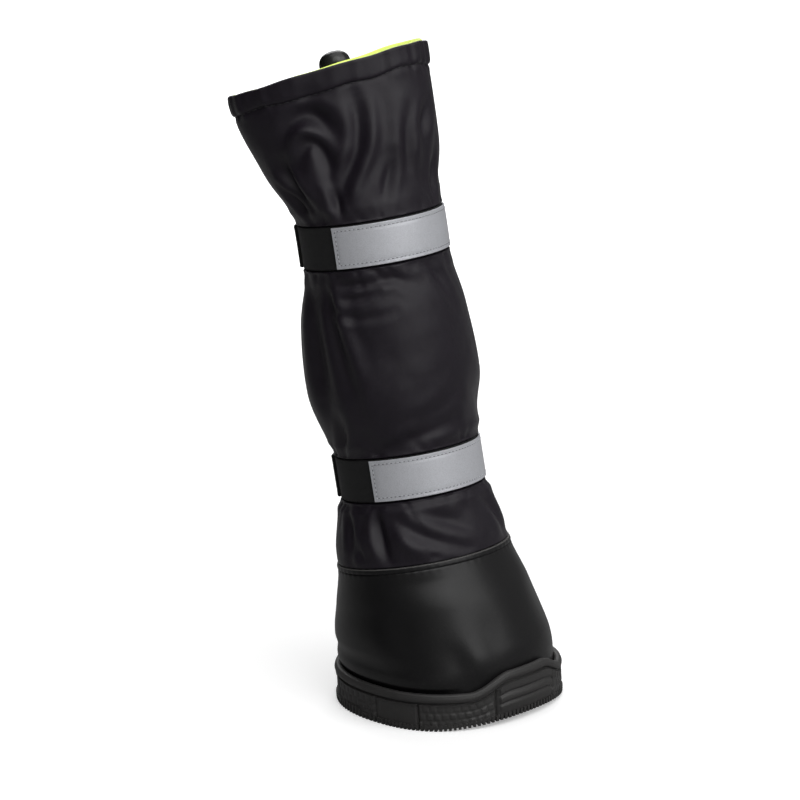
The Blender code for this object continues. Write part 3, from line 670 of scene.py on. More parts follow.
def shaft_ring(row, seam):
    height = mix(*SPANS[row.span], row.share)
    axis_y = SHAFT_SET_BACK + (height - SEAM_HEIGHT) * SHAFT_LEAN
    radius = row.size * SHAFT_WIDTH / 2
    half_width = mix(mix(radius, seam.half_width, row.foot), COLLAR_WIDTH / 2, row.flare)
    front = mix(mix(radius, seam.front, row.foot), COLLAR_DEPTH / 2, row.flare)
    back = mix(mix(radius, seam.back, row.foot), COLLAR_DEPTH / 2, row.flare)
    return Ring(
        height, -COLLAR_SHIFT * row.flare * math.cos(COLLAR_TURN),
        axis_y - COLLAR_SHIFT * row.flare * math.sin(COLLAR_TURN),
        half_width, front, back, COLLAR_TURN * smooth(2.0 * row.flare),
        COLLAR_DIP_SIDE * row.flare, mix(SHAFT_LEAN, COLLAR_DIP_BACK, row.flare), 2.0,
    )


def upper_rings():
    """The sections that the whole upper is lofted through, bottom to top."""
    foot = sole_ring(FLOOR_TOP, FOXING_INSET)
    rings = [foot, foot._replace(height=CUP_HEIGHT), foot._replace(height=CUP_HEIGHT + TOE_WAVE_RISE)]
    rings += [vamp_ring(row) for row in VAMP_ROWS]
    rings += [shaft_ring(row, rings[-1]) for row in SHAFT_ROWS]
    return rings


RINGS = upper_rings()
RING_HEIGHTS = [ring.height for ring in RINGS]


def upper_ring(height):
    fields = {
        name: monotone(RING_HEIGHTS, [getattr(ring, name) for ring in RINGS], height)
        for name in Ring._fields if name != "height"
    }
    return Ring(height=height, **fields)


print(len(RINGS), "rings up to", RING_HEIGHTS[-1] / MM, "mm")

# %% [markdown]
# ## The large folds
# A slack shaft that is drawn in at two places puffs out between them, and its cloth falls
# into a few large troughs and ridges. They are the same as in the solids. A cloth simulation
# could find such folds, but placed ones lie where they should and are the same each run. Each
# one is a soft bump with a place, a width and a slope, and it fades out under the straps and
# the hem.

# %% The folds that the solids have too
Fold = namedtuple("Fold", "name around span share wide tall slope depth")
FOLDS = (
    Fold("ankle trough", -70.0, "ankle", 0.45, 9.0, 0.42, -0.60, -0.030),
    Fold("ankle ridge", -48.0, "ankle", 0.50, 13.0, 0.40, -0.60, 0.018),
    Fold("ankle front dent", -16.0, "ankle", 0.62, 17.0, 0.20, 0.10, -0.020),
    Fold("ankle side trough", 52.0, "ankle", 0.50, 10.0, 0.40, 0.80, -0.024),
    Fold("calf long crease", -101.0, "calf", 0.55, 9.0, 0.46, 0.05, -0.036),
    Fold("calf side puff", -126.0, "calf", 0.45, 18.0, 0.35, 0.00, 0.026),
    Fold("calf right hollow", 32.0, "calf", 0.22, 22.0, 0.10, -0.16, -0.026),
    Fold("calf back crease", 165.0, "calf", 0.40, 10.0, 0.40, 0.10, -0.030),
    Fold("cuff long crease", -58.0, "cuff", 0.45, 8.0, 0.38, 0.35, -0.036),
    Fold("cuff left gather", -96.0, "cuff", 0.30, 12.0, 0.25, 0.60, -0.040),
    Fold("cuff right ridge", -3.0, "cuff", 0.48, 12.0, 0.36, -0.20, 0.020),
    Fold("cuff back trough", 120.0, "cuff", 0.40, 14.0, 0.30, 0.10, -0.030),
)


def fold_depth(height, around):
    """How far the large folds move the wall, for arrays of heights and angles."""
    total = np.zeros(np.broadcast(height, around).shape)
    for fold in FOLDS:
        low, high = SPANS[fold.span]
        share = (height - low) / (high - low)
        turn = turned(around, fold.around)
        up = share - fold.share - fold.slope * np.radians(turn)
        fade = smooth(share / 0.12) * smooth((1.0 - share) / 0.16)
        total += fold.depth * fade * hump(turn, fold.wide) * hump(up, fold.tall)
    return total * SHAFT_WIDTH


def upper_points(height, around, out=0.0):
    """Points of the upper's outside at heights and angles, moved outwards by out."""
    return oval_points(upper_ring(height), around, out + fold_depth(height, around))


probe = upper_points(np.linspace(SEAM_HEIGHT, COLLAR_HEIGHT, 90)[:, None], np.arange(360.0))
shaft_low, shaft_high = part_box("shaft")
print("lofted shaft, mm:", np.round(probe.min((0, 1)) / MM, 1), np.round(probe.max((0, 1)) / MM, 1))
print("its solid, mm:   ", np.round(np.array(shaft_low) / MM, 1), np.round(np.array(shaft_high) / MM, 1))

# %% [markdown]
# ## Skinning a grid of points
# Every shell of this boot is a grid: rows of points, each row a closed loop round the leg.
# Modelling tools could extrude such shells ring by ring, but with a function for the points a
# grid is quicker and exact. One helper joins the grid into quads and gives it a UV map in
# metres, measured along the surface, so a weave has the same thread size on every piece.

# %% The skin helper


def run_lengths(points, axis):
    """Mean running length along one axis of a grid of points, from its start."""
    steps = np.linalg.norm(np.diff(points, axis=axis), axis=-1)
    return np.concatenate([[0.0], np.cumsum(steps.mean(axis=1 - axis))])


def skin(name, grid, material, wrap_rows=True, wrap_columns=True, sharp=40.0):
    """Skin a grid of rows by columns. A direction that doesn't wrap gets flat end faces."""
    rows, columns = grid.shape[:2]
    row_count = rows if wrap_rows else rows - 1
    column_count = columns if wrap_columns else columns - 1
    r, c = np.meshgrid(np.arange(row_count), np.arange(column_count), indexing="ij")
    corners = [(r, c), (r, c + 1), (r + 1, c + 1), (r + 1, c)]
    quads = np.stack([(a % rows) * columns + b % columns for a, b in corners], -1).reshape(-1, 4)
    faces = quads.tolist()
    index = np.arange(rows * columns).reshape(rows, columns)
    if not wrap_rows:
        faces.append(index[0, ::-1].tolist())
        faces.append(index[-1].tolist())
    if not wrap_columns:
        faces.append(index[:, 0].tolist())
        faces.append(index[::-1, -1].tolist())
    mesh = bpy.data.meshes.new(name)
    mesh.from_pydata(grid.reshape(-1, 3).tolist(), [], faces)
    closed_rows = np.concatenate([grid, grid[:1]]) if wrap_rows else grid
    closed_columns = np.concatenate([grid, grid[:, :1]], axis=1) if wrap_columns else grid
    along_u = run_lengths(closed_columns, 1)
    along_v = run_lengths(closed_rows, 0)
    uv = np.zeros((len(mesh.loops), 2))
    quad_uv = np.stack([np.stack([along_u[b], along_v[a]], -1) for a, b in corners], 2)
    uv[:quads.size] = quad_uv.reshape(-1, 2)
    mesh.uv_layers.new(name="cloth").data.foreach_set("uv", uv.ravel())
    mesh.materials.append(material)
    mesh.shade_smooth()
    mesh.set_sharp_from_angle(angle=math.radians(sharp))
    return add_object(name, mesh)


# %% Setting a piece out


def set_out(made, slot, *replaced):
    """Let a finished piece ride on the boot and hide the solids it stands for; its slot is not used."""
    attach(made, "root")
    if replaced:
        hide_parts(*replaced)
    triangles = sum(len(face.vertices) - 2 for face in made.data.polygons)
    print(made.name, "-", triangles, "triangles")
    return made


def ring_angles(count):
    return np.arange(count) * (360.0 / count)


def wall_rows(outside, inside):
    """Pairs up the outside and down the inside, as two columns."""
    rows = np.array(list(outside) + list(inside)[::-1])
    return rows[:, :1], rows[:, 1:]


def wall_grid(outside, inside, around, place):
    """A hollow wall. Its rows are pairs of a height and a distance outwards."""
    height, out = wall_rows(outside, inside)
    return place(height, around, out)


# %% [markdown]
# ## The sole's side
# The cup sole is one moulding. Its lip runs level round the boot and rises in a wave over
# the toe bumper. Under the lip lies a thin groove. Below that, smooth panels alternate with
# panels of small raised blocks, and the bumper at the toe has two soft grooves across it.
# All of this is real relief in the mesh, because it breaks up the sole's outline.

# %% Heights along the sole


def spring_rise(y):
    """How far the tread has left the floor: toe spring and the heel's rounded end."""
    toe = (-y - (SOLE_LENGTH / 2 - TOE_SPRING_LENGTH)) / TOE_SPRING_LENGTH
    heel = (y - (SOLE_LENGTH / 2 - HEEL_SPRING_LENGTH)) / HEEL_SPRING_LENGTH
    return TOE_SPRING * np.maximum(toe, 0.0) ** 2 + HEEL_SPRING * np.maximum(heel, 0.0) ** 2


def arch_rise(y):
    away = np.abs(y - ARCH_BACK_OF_MIDDLE) / (ARCH_LENGTH / 2)
    return ARCH_RISE * smooth(1.5 - away)


def lip_top(around):
    """The lip runs level and rises in a wave over the toe bumper."""
    away = np.abs(turned(around, 0.0))
    share = 1.0 - smooth((away - WAVE_FLAT_ANGLE) / (WAVE_END_ANGLE - WAVE_FLAT_ANGLE))
    return CUP_HEIGHT + TOE_WAVE_RISE * share


def sole_points(around, height, out=0.0):
    return oval_points(sole_ring(height), around, out)


def side_low(around):
    return TREAD_DEPTH + spring_rise(sole_points(around, 0.0)[..., 1])


print("toe spring, mm:", round(float(spring_rise(-SOLE_LENGTH / 2)) / MM, 2))

# %% Relief of the side
BUMPER_HALF_ANGLE = 20.5
BUMPER_PROUD = 0.6 * MM
BUMPER_UNDERCUT = 0.9 * MM
BUMPER_GROOVES = (0.42, 0.72)
BUMPER_GROOVE_DEPTH = 0.75 * MM
BUMPER_RIB = 0.57
BUMPER_RIB_HEIGHT = 0.35 * MM
PANEL_RECESS = 0.4 * MM
SIDE_GROOVE_ANGLES = (22.6, 67.0, 96.0, 130.0, 158.0)
PANEL_GROOVE_HALF_ANGLE = 0.75
BLOCKS_AROUND = 84
BLOCK_ROWS = 3
BLOCK_RELIEF = 0.55 * MM
BLOCKY_PANELS = ((22.6, 67.0), (96.0, 130.0), (158.0, 181.0))
block_heights = np.random.default_rng(11).uniform(0.25, 1.0, (BLOCK_ROWS, BLOCKS_AROUND))


def between(value, low, high, edge):
    return smooth((value - low) / edge + 0.5) * smooth((high - value) / edge + 0.5)


def block_relief(share, around):
    """Small raised blocks in staggered rows, each with its own height and soft edges."""
    row = np.clip(share * BLOCK_ROWS, 0.0, BLOCK_ROWS - 0.001)
    row_index = np.floor(row).astype(int)
    column = around / 360.0 * BLOCKS_AROUND + 0.5 * (row_index % 2)
    column_index = np.floor(column).astype(int) % BLOCKS_AROUND
    x = column - np.floor(column)
    y = row - row_index
    shape = between(x, 0.16, 0.84, 0.26) * between(y, 0.16, 0.84, 0.30)
    return BLOCK_RELIEF * block_heights[row_index, column_index] * shape


def side_relief(share, around):
    """How far the side stands out, at a share of its height."""
    away = np.abs(turned(around, 0.0))
    in_bumper = 1.0 - smooth((away - BUMPER_HALF_ANGLE) / 1.2 + 0.5)
    blocky = sum(between(away, low, high, 1.5) for low, high in BLOCKY_PANELS)
    panel = -PANEL_RECESS * between(share, 0.08, 0.95, 0.12) + blocky * block_relief(share, around)
    grooves = BUMPER_GROOVE_DEPTH * sum(hump(share - place, 0.055) for place in BUMPER_GROOVES)
    rib = BUMPER_RIB_HEIGHT * hump(share - BUMPER_RIB, 0.10) * hump(away, 13.0)
    slab = BUMPER_PROUD - grooves + rib - BUMPER_UNDERCUT * smooth(1.0 - share / 0.45)
    cuts = sum(hump(away - angle, PANEL_GROOVE_HALF_ANGLE) for angle in SIDE_GROOVE_ANGLES)
    return mix(panel, slab, in_bumper) - SIDE_GROOVE_DEPTH * np.minimum(cuts, 1.0)


print("side relief at mid height, mm:", np.round(side_relief(0.5, np.arange(0.0, 181.0, 30.0)) / MM, 2))

# %% The sole's body
SOLE_COLUMNS = 720
SIDE_ROWS = 34
UNDERSIDE_SHARES = (0.02, 0.15, 0.30, 0.45, 0.60, 0.72, 0.82, 0.90, 0.945, 0.96, 1.0)
SKIRT_FROM_SHARE = 0.95
SKIRT_DROP = 1.25 * MM
LIP_SWELL = 0.35 * MM


def sole_grid():
    """Rows from the middle of the tread out, up the side, over the lip and into the cup."""
    around = ring_angles(SOLE_COLUMNS)
    middle = np.array([0.0, BALL_Y, 0.0])
    edge = sole_points(around, 0.0, -LIP_ROUNDING)
    rows = []
    for share in UNDERSIDE_SHARES:
        under = mix(middle, edge, share)
        skirt = SKIRT_DROP if share > SKIRT_FROM_SHARE else 0.0
        under[:, 2] = TREAD_DEPTH + spring_rise(under[:, 1]) + arch_rise(under[:, 1]) - skirt
        rows.append(under)
    low = side_low(around) - SKIRT_DROP + LIP_ROUNDING / 2
    top = lip_top(around)
    groove_low = top - LIP_HEIGHT - SIDE_GROOVE_HEIGHT
    for share in np.linspace(0.0, 1.0, SIDE_ROWS):
        rows.append(sole_points(around, mix(low, groove_low, share), side_relief(share, around)))
    for share in (0.15, 0.35, 0.55, 0.75, 0.92):
        cut = -SIDE_GROOVE_DEPTH * math.sin(math.pi * share) ** 0.7
        rows.append(sole_points(around, groove_low + SIDE_GROOVE_HEIGHT * share, cut))
    for share in np.linspace(0.0, 1.0, 9):
        swell = LIP_SWELL * math.sin(math.pi * share)
        rows.append(sole_points(around, top - mix(LIP_HEIGHT, LIP_ROUNDING, share), swell))
    for turn in np.radians(np.linspace(12.0, 168.0, 11)):
        across = mix(0.0, -CUP_WALL, 0.5 - 0.5 * math.cos(turn))
        rows.append(sole_points(around, top - LIP_ROUNDING * (1.0 - math.sin(turn)), across))
    rows.append(sole_points(around, top - 2 * LIP_ROUNDING, -CUP_WALL))
    rows.append(sole_points(around, FLOOR_TOP, -CUP_WALL))
    return np.stack(rows)


set_out(skin("outsole_body", sole_grid(), RUBBER, wrap_rows=False), "rubber", "outsole")

# %% [markdown]
# ## Tread lugs from Geometry Nodes
# The tread repeats two small shapes: short blocks round the edge, which give the sole its
# serrated lower line, and diamonds in staggered rows. Repeats of one shape are what Geometry
# Nodes do best. Each lug is a low cone with four sides that stands on a point of a mesh. The
# points carry a size and a heading, and the tree does the rest. The pad that the sole rests
# on is one such cone with six sides.

# %% Helpers for Geometry Nodes trees


def geometry_tree(name, inputs):
    """A Geometry Nodes tree with named inputs after its geometry."""
    made = new_tree(name, "GeometryNodeTree", [("Geometry", "Geometry")] + inputs,
                    [("Geometry", "Geometry")])
    made[0].is_modifier = True
    return made


def end_tree(tree, result, instances, material):
    """Close a tree: make the instances real and give them their material."""
    real = add_node(tree, "GeometryNodeRealizeInstances", {"Geometry": instances})
    dressed = add_node(tree, "GeometryNodeSetMaterial", {"Geometry": real.outputs[0], "Material": material})
    tree.links.new(dressed.outputs[0], result["Geometry"])


def named_vector(tree, name):
    node = add_node(tree, "GeometryNodeInputNamedAttribute", {"Name": name}, data_type="FLOAT_VECTOR")
    return node.outputs["Attribute"]


def facing(tree, primary, secondary, axes):
    """A rotation from two directions."""
    return add_node(
        tree, "FunctionNodeAxesToRotation", {"Primary Axis": primary, "Secondary Axis": secondary},
        primary_axis=axes[0], secondary_axis=axes[1],
    ).outputs[0]


# %% Hosts for a tree, and its result as a plain mesh


def host_mesh(name, points, edges, **vectors):
    """Points and edges with vector attributes, for a tree to work on."""
    mesh = bpy.data.meshes.new(name)
    mesh.from_pydata([tuple(point) for point in points], edges, [])
    for label, values in vectors.items():
        layer = mesh.attributes.new(label, "FLOAT_VECTOR", "POINT")
        layer.data.foreach_set("vector", np.asarray(values, dtype=float).ravel())
    return add_object(name, mesh)


def grow(name, host, tree, **values):
    """Run a tree on a host and keep the result as a plain mesh object."""
    modifier = host.modifiers.new(tree.name, "NODES")
    modifier.node_group = tree
    for item in tree.interface.items_tree:
        label = item.name.replace(" ", "_").lower()
        if item.in_out == "INPUT" and label in values:
            modifier[item.identifier] = values[label]
    graph = bpy.context.evaluated_depsgraph_get()
    mesh = bpy.data.meshes.new_from_object(host.evaluated_get(graph))
    host.modifiers.remove(modifier)
    bpy.data.objects.remove(host)
    mesh.name = name
    return add_object(name, mesh)


# %% The lug tree


def build_lug_tree():
    tree, given, result = geometry_tree("tread lugs", [
        ("Sides", "Int"), ("Draft", "Float"), ("Turn", "Float"), ("Rubber", "Material"),
    ])
    half = 0.5
    cone = add_node(tree, "GeometryNodeMeshCone", {
        "Vertices": given["Sides"], "Radius Top": half,
        "Radius Bottom": maths(tree, "MULTIPLY", given["Draft"], half), "Depth": 1.0,
    })
    spin = add_node(tree, "ShaderNodeCombineXYZ", {"Z": given["Turn"]}).outputs[0]
    lug = add_node(tree, "GeometryNodeTransform", {"Geometry": cone.outputs["Mesh"], "Rotation": spin})
    placed = add_node(tree, "GeometryNodeInstanceOnPoints", {
        "Points": given["Geometry"], "Instance": lug.outputs[0],
        "Rotation": facing(tree, named_vector(tree, "heading"), named_vector(tree, "up"), "YZ"),
        "Scale": named_vector(tree, "size"),
    })
    end_tree(tree, result, placed.outputs[0], given["Rubber"])
    return tree


LUG_TREE = build_lug_tree()
print("inputs:", [item.name for item in LUG_TREE.interface.items_tree if item.in_out == "INPUT"])

# %% Edge lugs
EDGE_LUG_COUNT = 68
TEETH_PER_LUG = 2
EDGE_TOOTH_SHARE = 0.60
EDGE_LUG_REACH = 4.2 * MM
EDGE_LUG_PROUD = 0.3 * MM
LUG_ROOT = 0.7 * MM
LUG_DRAFT = 0.93


def lug_points(places, headings, sizes):
    """Hosts for lugs that stand where the sprung tread is."""
    places = np.asarray(places, dtype=float)
    places[:, 2] = spring_rise(places[:, 1])
    sizes = np.asarray(sizes, dtype=float)
    sizes[:, 2] = TREAD_DEPTH + LUG_ROOT + arch_rise(places[:, 1])
    up = np.tile((0.0, 0.0, 1.0), (len(places), 1))
    return host_mesh("lug_points", places, [], heading=headings, size=sizes, up=up)


def make_edge_lugs():
    count = EDGE_LUG_COUNT * TEETH_PER_LUG
    around = (np.arange(count) + 0.5) * 360.0 / count
    outer = sole_points(around, 0.0, EDGE_LUG_PROUD)
    inner = sole_points(around, 0.0, -EDGE_LUG_REACH)
    headings = outer - inner
    reach = np.linalg.norm(headings, axis=1)
    step = np.linalg.norm(np.roll(outer, -1, axis=0) - np.roll(outer, 1, axis=0), axis=1) / 2
    root = math.sqrt(2.0)
    sizes = np.stack([step * EDGE_TOOTH_SHARE * root, reach * root, reach], -1)
    host = lug_points((outer + inner) / 2, headings, sizes)
    return grow("edge_lugs", host, LUG_TREE, sides=4, draft=LUG_DRAFT, turn=math.pi / 4, rubber=RUBBER)


set_out(make_edge_lugs(), "rubber")

# %% Field lugs and the rest pad
FIELD_LUG_PITCH = 11.8 * MM
FIELD_LUG_SIZE = 8.2 * MM
FIELD_LUG_DRAFT = 0.90
FIELD_MARGIN = 9.2 * MM
REST_PAD_SIZE = 12 * MM
REST_PAD_DRAFT = 0.96


def field_places():
    """Staggered rows inside the edge lugs, off the arch and off the rest pad."""
    ring = sole_ring(0.0, FIELD_MARGIN)
    row_step = FIELD_LUG_PITCH / 2
    rows = int(SOLE_LENGTH / row_step)
    across = int(SOLE_WIDTH / FIELD_LUG_PITCH)
    places = []
    for row in range(-rows, rows + 1):
        y = row * row_step
        for column in range(-across, across + 1):
            x = (column + 0.5 * (row % 2)) * FIELD_LUG_PITCH
            length = ring.front if y < ring.centre_y else ring.back
            far = (abs(x) / ring.half_width) ** SOLE_SQUARENESS
            far += (abs(y - ring.centre_y) / length) ** SOLE_SQUARENESS
            on_arch = abs(y - ARCH_BACK_OF_MIDDLE) < ARCH_LENGTH / 2
            on_pad = math.hypot(x, y) < (REST_PAD_SIZE + FIELD_LUG_SIZE) / 2 + LUG_ROOT
            if far < 1.0 and not on_arch and not on_pad:
                places.append((x, y, 0.0))
    return places


def make_field_lugs(name, places, size, sides, draft):
    headings = [(0.0, 1.0, 0.0)] * len(places)
    sizes = [(size, size, size)] * len(places)
    return grow(name, lug_points(places, headings, sizes), LUG_TREE, sides=sides, draft=draft,
                turn=0.0, rubber=RUBBER)


set_out(make_field_lugs("field_lugs", field_places(), FIELD_LUG_SIZE, 4, FIELD_LUG_DRAFT), "rubber")
set_out(make_field_lugs("rest_pad", [(0.0, 0.0, 0.0)], REST_PAD_SIZE, 6, REST_PAD_DRAFT), "rubber")

# %% [markdown]
# ## The insole
# A flat foam slab with a cloth top lies in the cup. A bevelled copy of the solid would do, but
# its middle is worn down a little, so it is lofted from rings that shrink towards the centre.

# %% The insole
INSOLE_COLUMNS = 160
INSOLE_DISH = 0.4 * MM
INSOLE_REACH = 33 * MM
INSOLE_UNDER_REACH = 20 * MM


def make_insole():
    inset = FOXING_INSET + VAMP_WALL + GAP
    bottom = FLOOR_TOP + GAP
    around = ring_angles(INSOLE_COLUMNS)
    rows = [(bottom, inset + INSOLE_UNDER_REACH), (bottom, inset)]
    edge = INSOLE_THICKNESS / 4
    for turn in np.radians(np.linspace(0.0, 90.0, 6)):
        rows.append((bottom + INSOLE_THICKNESS - edge * (1.0 - math.sin(turn)),
                     inset + edge * (1.0 - math.cos(turn))))
    for share in np.linspace(0.1, 0.9, 7):
        rows.append((bottom + INSOLE_THICKNESS - INSOLE_DISH * float(smooth(share)),
                     inset + INSOLE_REACH * share))
    grid = np.stack([oval_points(sole_ring(height, pull), around) for height, pull in rows])
    return skin("insole_slab", grid, INSOLE_CLOTH, wrap_rows=False)


set_out(make_insole(), "insole_foam", "insole")

# %% [markdown]
# ## The leather bucket
# One piece of smooth leather goes round the paw. Leather of this weight shows no sharp
# creases, only wide shallow dents, so a few soft bumps on the lofted wall are enough. Beside
# the bumper it swells a little over the sole's lip. Its top edge is turned under and stitched
# to the nylon, which leaves a small raised welt whose top is painted paler, a painted highlight.

# %% The dents of the leather
Dent = namedtuple("Dent", "name around height wide tall depth")
DENTS = (
    Dent("front right hollow", -17.0, 33, 11.0, 9.0, -0.9),
    Dent("front left hollow", -67.0, 36, 13.0, 11.0, -0.8),
    Dent("dent over the bumper", -40.0, 27, 8.0, 5.0, -0.9),
    Dent("fullness over the ball", -29.0, 26, 9.0, 7.0, 0.7),
    Dent("side fullness", -85.0, 30, 14.0, 9.0, 0.6),
    Dent("right side hollow", 39.0, 38, 16.0, 12.0, -0.9),
    Dent("heel left hollow", 148.0, 34, 15.0, 12.0, -0.8),
    Dent("heel right fullness", -140.0, 30, 15.0, 10.0, 0.6),
    Dent("under the seam", -47.0, 53, 20.0, 4.0, -0.35),
    Dent("under the seam, back", 170.0, 52, 22.0, 4.0, -0.4),
)
print(len(DENTS), "dents, the deepest", min(dent.depth for dent in DENTS), "mm")

# %% The leather's surface
WELT_WIDTH = 1.8 * MM
WELT_PROUD = 0.3 * MM
WELT_PUCKERS = 62.0
WELT_PUCKER = 0.10 * MM
LEATHER_THICKNESS = 1.1 * MM
VAMP_COLUMNS = 240
OVER_LIP = 1.7 * MM
OVER_LIP_RISE = 4 * MM
OVER_LIP_HALF_HEIGHT = 5 * MM
OVER_LIP_RAMP_LEFT = 20.0
OVER_LIP_RAMP_RIGHT = 45.0


def dent_depth(height, around, dents):
    total = 0.0
    for dent in dents:
        turn = turned(around, dent.around)
        up = height / MM - dent.height
        total = total + dent.depth * MM * hump(turn, dent.wide) * hump(up, dent.tall)
    return total


def swell_over_lip(height, around):
    """Beside the lip's wave the leather is full and bulges out over the lip."""
    turn = turned(around, 0.0)
    ramp = np.where(turn < 0.0, OVER_LIP_RAMP_LEFT, OVER_LIP_RAMP_RIGHT)
    beside = smooth((np.abs(turn) - WAVE_END_ANGLE) / ramp)
    rise = height - CUP_HEIGHT
    return OVER_LIP * beside * hump(rise - OVER_LIP_RISE, OVER_LIP_HALF_HEIGHT) * smooth(rise / (2 * MM))


def vamp_points(height, around, out):
    """Points of the bucket. It is full over the lip, and the seam pulls it in on top."""
    below_welt = SEAM_HEIGHT - WELT_WIDTH - height
    fade = smooth((height - CUP_HEIGHT) / (6 * MM)) * smooth(below_welt / (5 * MM))
    pucker = WELT_PUCKER * np.sin(np.radians(around * WELT_PUCKERS)) * hump(below_welt, 1.6 * MM)
    dents = dent_depth(height, around, DENTS) * fade
    return upper_points(height, around, out + dents + swell_over_lip(height, around) + pucker)


# %% The bucket's wall and its welt


def make_vamp():
    bottom = FLOOR_TOP + GAP
    body_top = SEAM_HEIGHT - WELT_WIDTH
    outside = [(height, 0.0) for height in np.linspace(bottom, body_top - 0.5 * MM, 110)]
    outside.append((body_top - 0.1 * MM, -0.25 * MM))
    for turn in np.radians(np.linspace(8.0, 172.0, 9)):
        rise = 0.5 - 0.5 * math.cos(turn)
        outside.append((mix(body_top, SEAM_HEIGHT, rise), WELT_PROUD * math.sin(turn) ** 0.6))
    inside = [(height, -LEATHER_THICKNESS) for height in np.linspace(bottom, SEAM_HEIGHT, 50)]
    around = ring_angles(VAMP_COLUMNS)
    made = skin("vamp_leather", wall_grid(outside, inside, around, vamp_points), LEATHER)
    # The welt's top faces take the paler colour, a painted highlight along the seam.
    made.data.materials.append(WELT_PAINTED_HIGHLIGHT)
    first = (len(outside) - 3) * VAMP_COLUMNS
    for face in made.data.polygons[first:first + 3 * VAMP_COLUMNS]:
        face.material_index = 1
    return made


set_out(make_vamp(), "leather", "vamp")

# %% [markdown]
# ## Creases of the nylon
# Padded nylon creases where it is squeezed: pleats fan out from the edges of the straps, and
# long folds run down from the gathered collar. Noise alone would crumple the cloth evenly,
# which no strap does. So each main crease is drawn as a curve through three points of the
# shaft, given by angle and height in millimetres, and only the small pleats are random. A
# crease is a soft trough with a low ridge on both sides. A positive depth gives a ridge.

# %% The main creases
Crease = namedtuple("Crease", "name start via end width depth")
CREASES = (
    Crease("ankle steep trough", (-76, 84), (-73, 73), (-65, 62), 2.0, -1.5),
    Crease("ankle long trough", (-69, 83), (-45, 72), (-11, 63), 2.6, -1.5),
    Crease("ankle ridge", (-73, 84), (-59, 76), (-49, 64), 2.6, 0.8),
    Crease("ankle small dent", (-39, 64), (-35, 62), (-31, 62), 1.6, -0.7),
    Crease("ankle left dent", (-93, 70), (-89, 66), (-85, 66), 2.2, -0.9),
    Crease("ankle left fold", (-109, 83), (-101, 74), (-99, 64), 2.4, -1.2),
    Crease("ankle front wrinkle", (-45, 79), (-23, 75), (-1, 68), 2.4, -0.8),
    Crease("ankle right fold", (11, 82), (25, 74), (31, 63), 2.8, -1.2),
    Crease("over the lower strap", (-69, 106), (-43, 108), (-3, 114), 2.6, -1.4),
    Crease("over the lower strap, high", (-39, 114), (-21, 117), (1, 124), 3.2, -0.8),
    Crease("over the lower strap, left", (-105, 106), (-97, 112), (-93, 120), 2.4, -1.0),
    Crease("calf long crease", (-91, 175), (-83, 152), (-73, 122), 3.2, -1.3),
    Crease("calf long ridge", (-83, 176), (-77, 158), (-69, 138), 3.0, 0.9),
    Crease("calf left crease", (-113, 172), (-108, 150), (-107, 128), 3.2, -1.2),
    Crease("under the upper strap, long", (-83, 173), (-57, 172), (-29, 173), 1.7, -1.1),
    Crease("under the upper strap, short", (-75, 167), (-61, 167), (-47, 169), 1.4, -0.9),
    Crease("under the upper strap, arc", (-89, 168), (-71, 160), (-37, 160), 1.7, -0.7),
    Crease("under the upper strap, middle", (-49, 176), (-35, 173), (-15, 168), 2.2, -0.7),
    Crease("under the upper strap, right", (-5, 176), (5, 170), (13, 158), 2.6, -1.0),
    Crease("cuff long crease", (-33, 243), (-39, 222), (-65, 203), 2.4, -1.5),
    Crease("cuff long ridge", (-26, 240), (-31, 222), (-53, 202), 2.8, 1.0),
    Crease("cuff arc dent", (-81, 232), (-62, 239), (-47, 228), 2.8, -1.6),
    Crease("cuff lower arc", (-81, 220), (-65, 228), (-61, 214), 2.4, -1.4),
    Crease("cuff lower ridge", (-83, 226), (-67, 233), (-55, 222), 2.2, 1.0),
    Crease("cuff left gather", (-97, 222), (-93, 212), (-83, 200), 2.8, -1.8),
    Crease("cuff left gather, low", (-107, 212), (-101, 206), (-93, 199), 2.4, -1.4),
    Crease("cuff strap pleat", (-61, 212), (-63, 204), (-67, 198), 1.8, -1.2),
    Crease("cuff right fold", (1, 231), (-5, 220), (-3, 208), 2.6, -1.4),
    Crease("cuff right notch", (25, 232), (15, 227), (9, 221), 2.8, -1.2),
    Crease("cuff strap dent", (-17, 217), (-21, 209), (-29, 202), 2.2, -1.1),
    Crease("cuff right pleat", (27, 216), (25, 206), (21, 199), 2.4, -1.2),
    Crease("calf back left", (-140, 174), (-148, 150), (-142, 118), 3.4, -1.5),
    Crease("calf back right", (146, 172), (154, 146), (148, 120), 3.4, -1.4),
    Crease("calf right side", (74, 172), (82, 148), (76, 120), 3.4, -1.2),
    Crease("ankle back left", (-150, 83), (-158, 74), (-154, 64), 2.4, -1.3),
    Crease("ankle back right", (140, 83), (132, 74), (136, 64), 2.4, -1.3),
    Crease("ankle right side", (84, 83), (92, 74), (88, 64), 2.4, -1.2),
    Crease("cuff back left", (-150, 240), (-158, 220), (-150, 200), 3.0, -1.6),
    Crease("cuff back right", (112, 238), (118, 220), (108, 200), 3.0, -1.5),
    Crease("cuff back middle", (160, 238), (168, 222), (162, 201), 3.0, -1.3),
)
CALF_HOLLOWS = (
    Dent("calf soft hollow", -14.0, 127, 26.0, 8.0, -0.9),
    Dent("calf mid hollow", -52.0, 145, 18.0, 8.0, -0.7),
    Dent("calf fullness", -28.0, 152, 22.0, 10.0, 0.5),
)
print(len(CREASES), "creases")

# %% The depth of the creases
CREASE_STEPS = 40
CREASE_STRENGTH = 1.3
CREASE_REACH = 6.0
SIDE_RIDGE = 0.30
MM_PER_DEGREE = 0.60


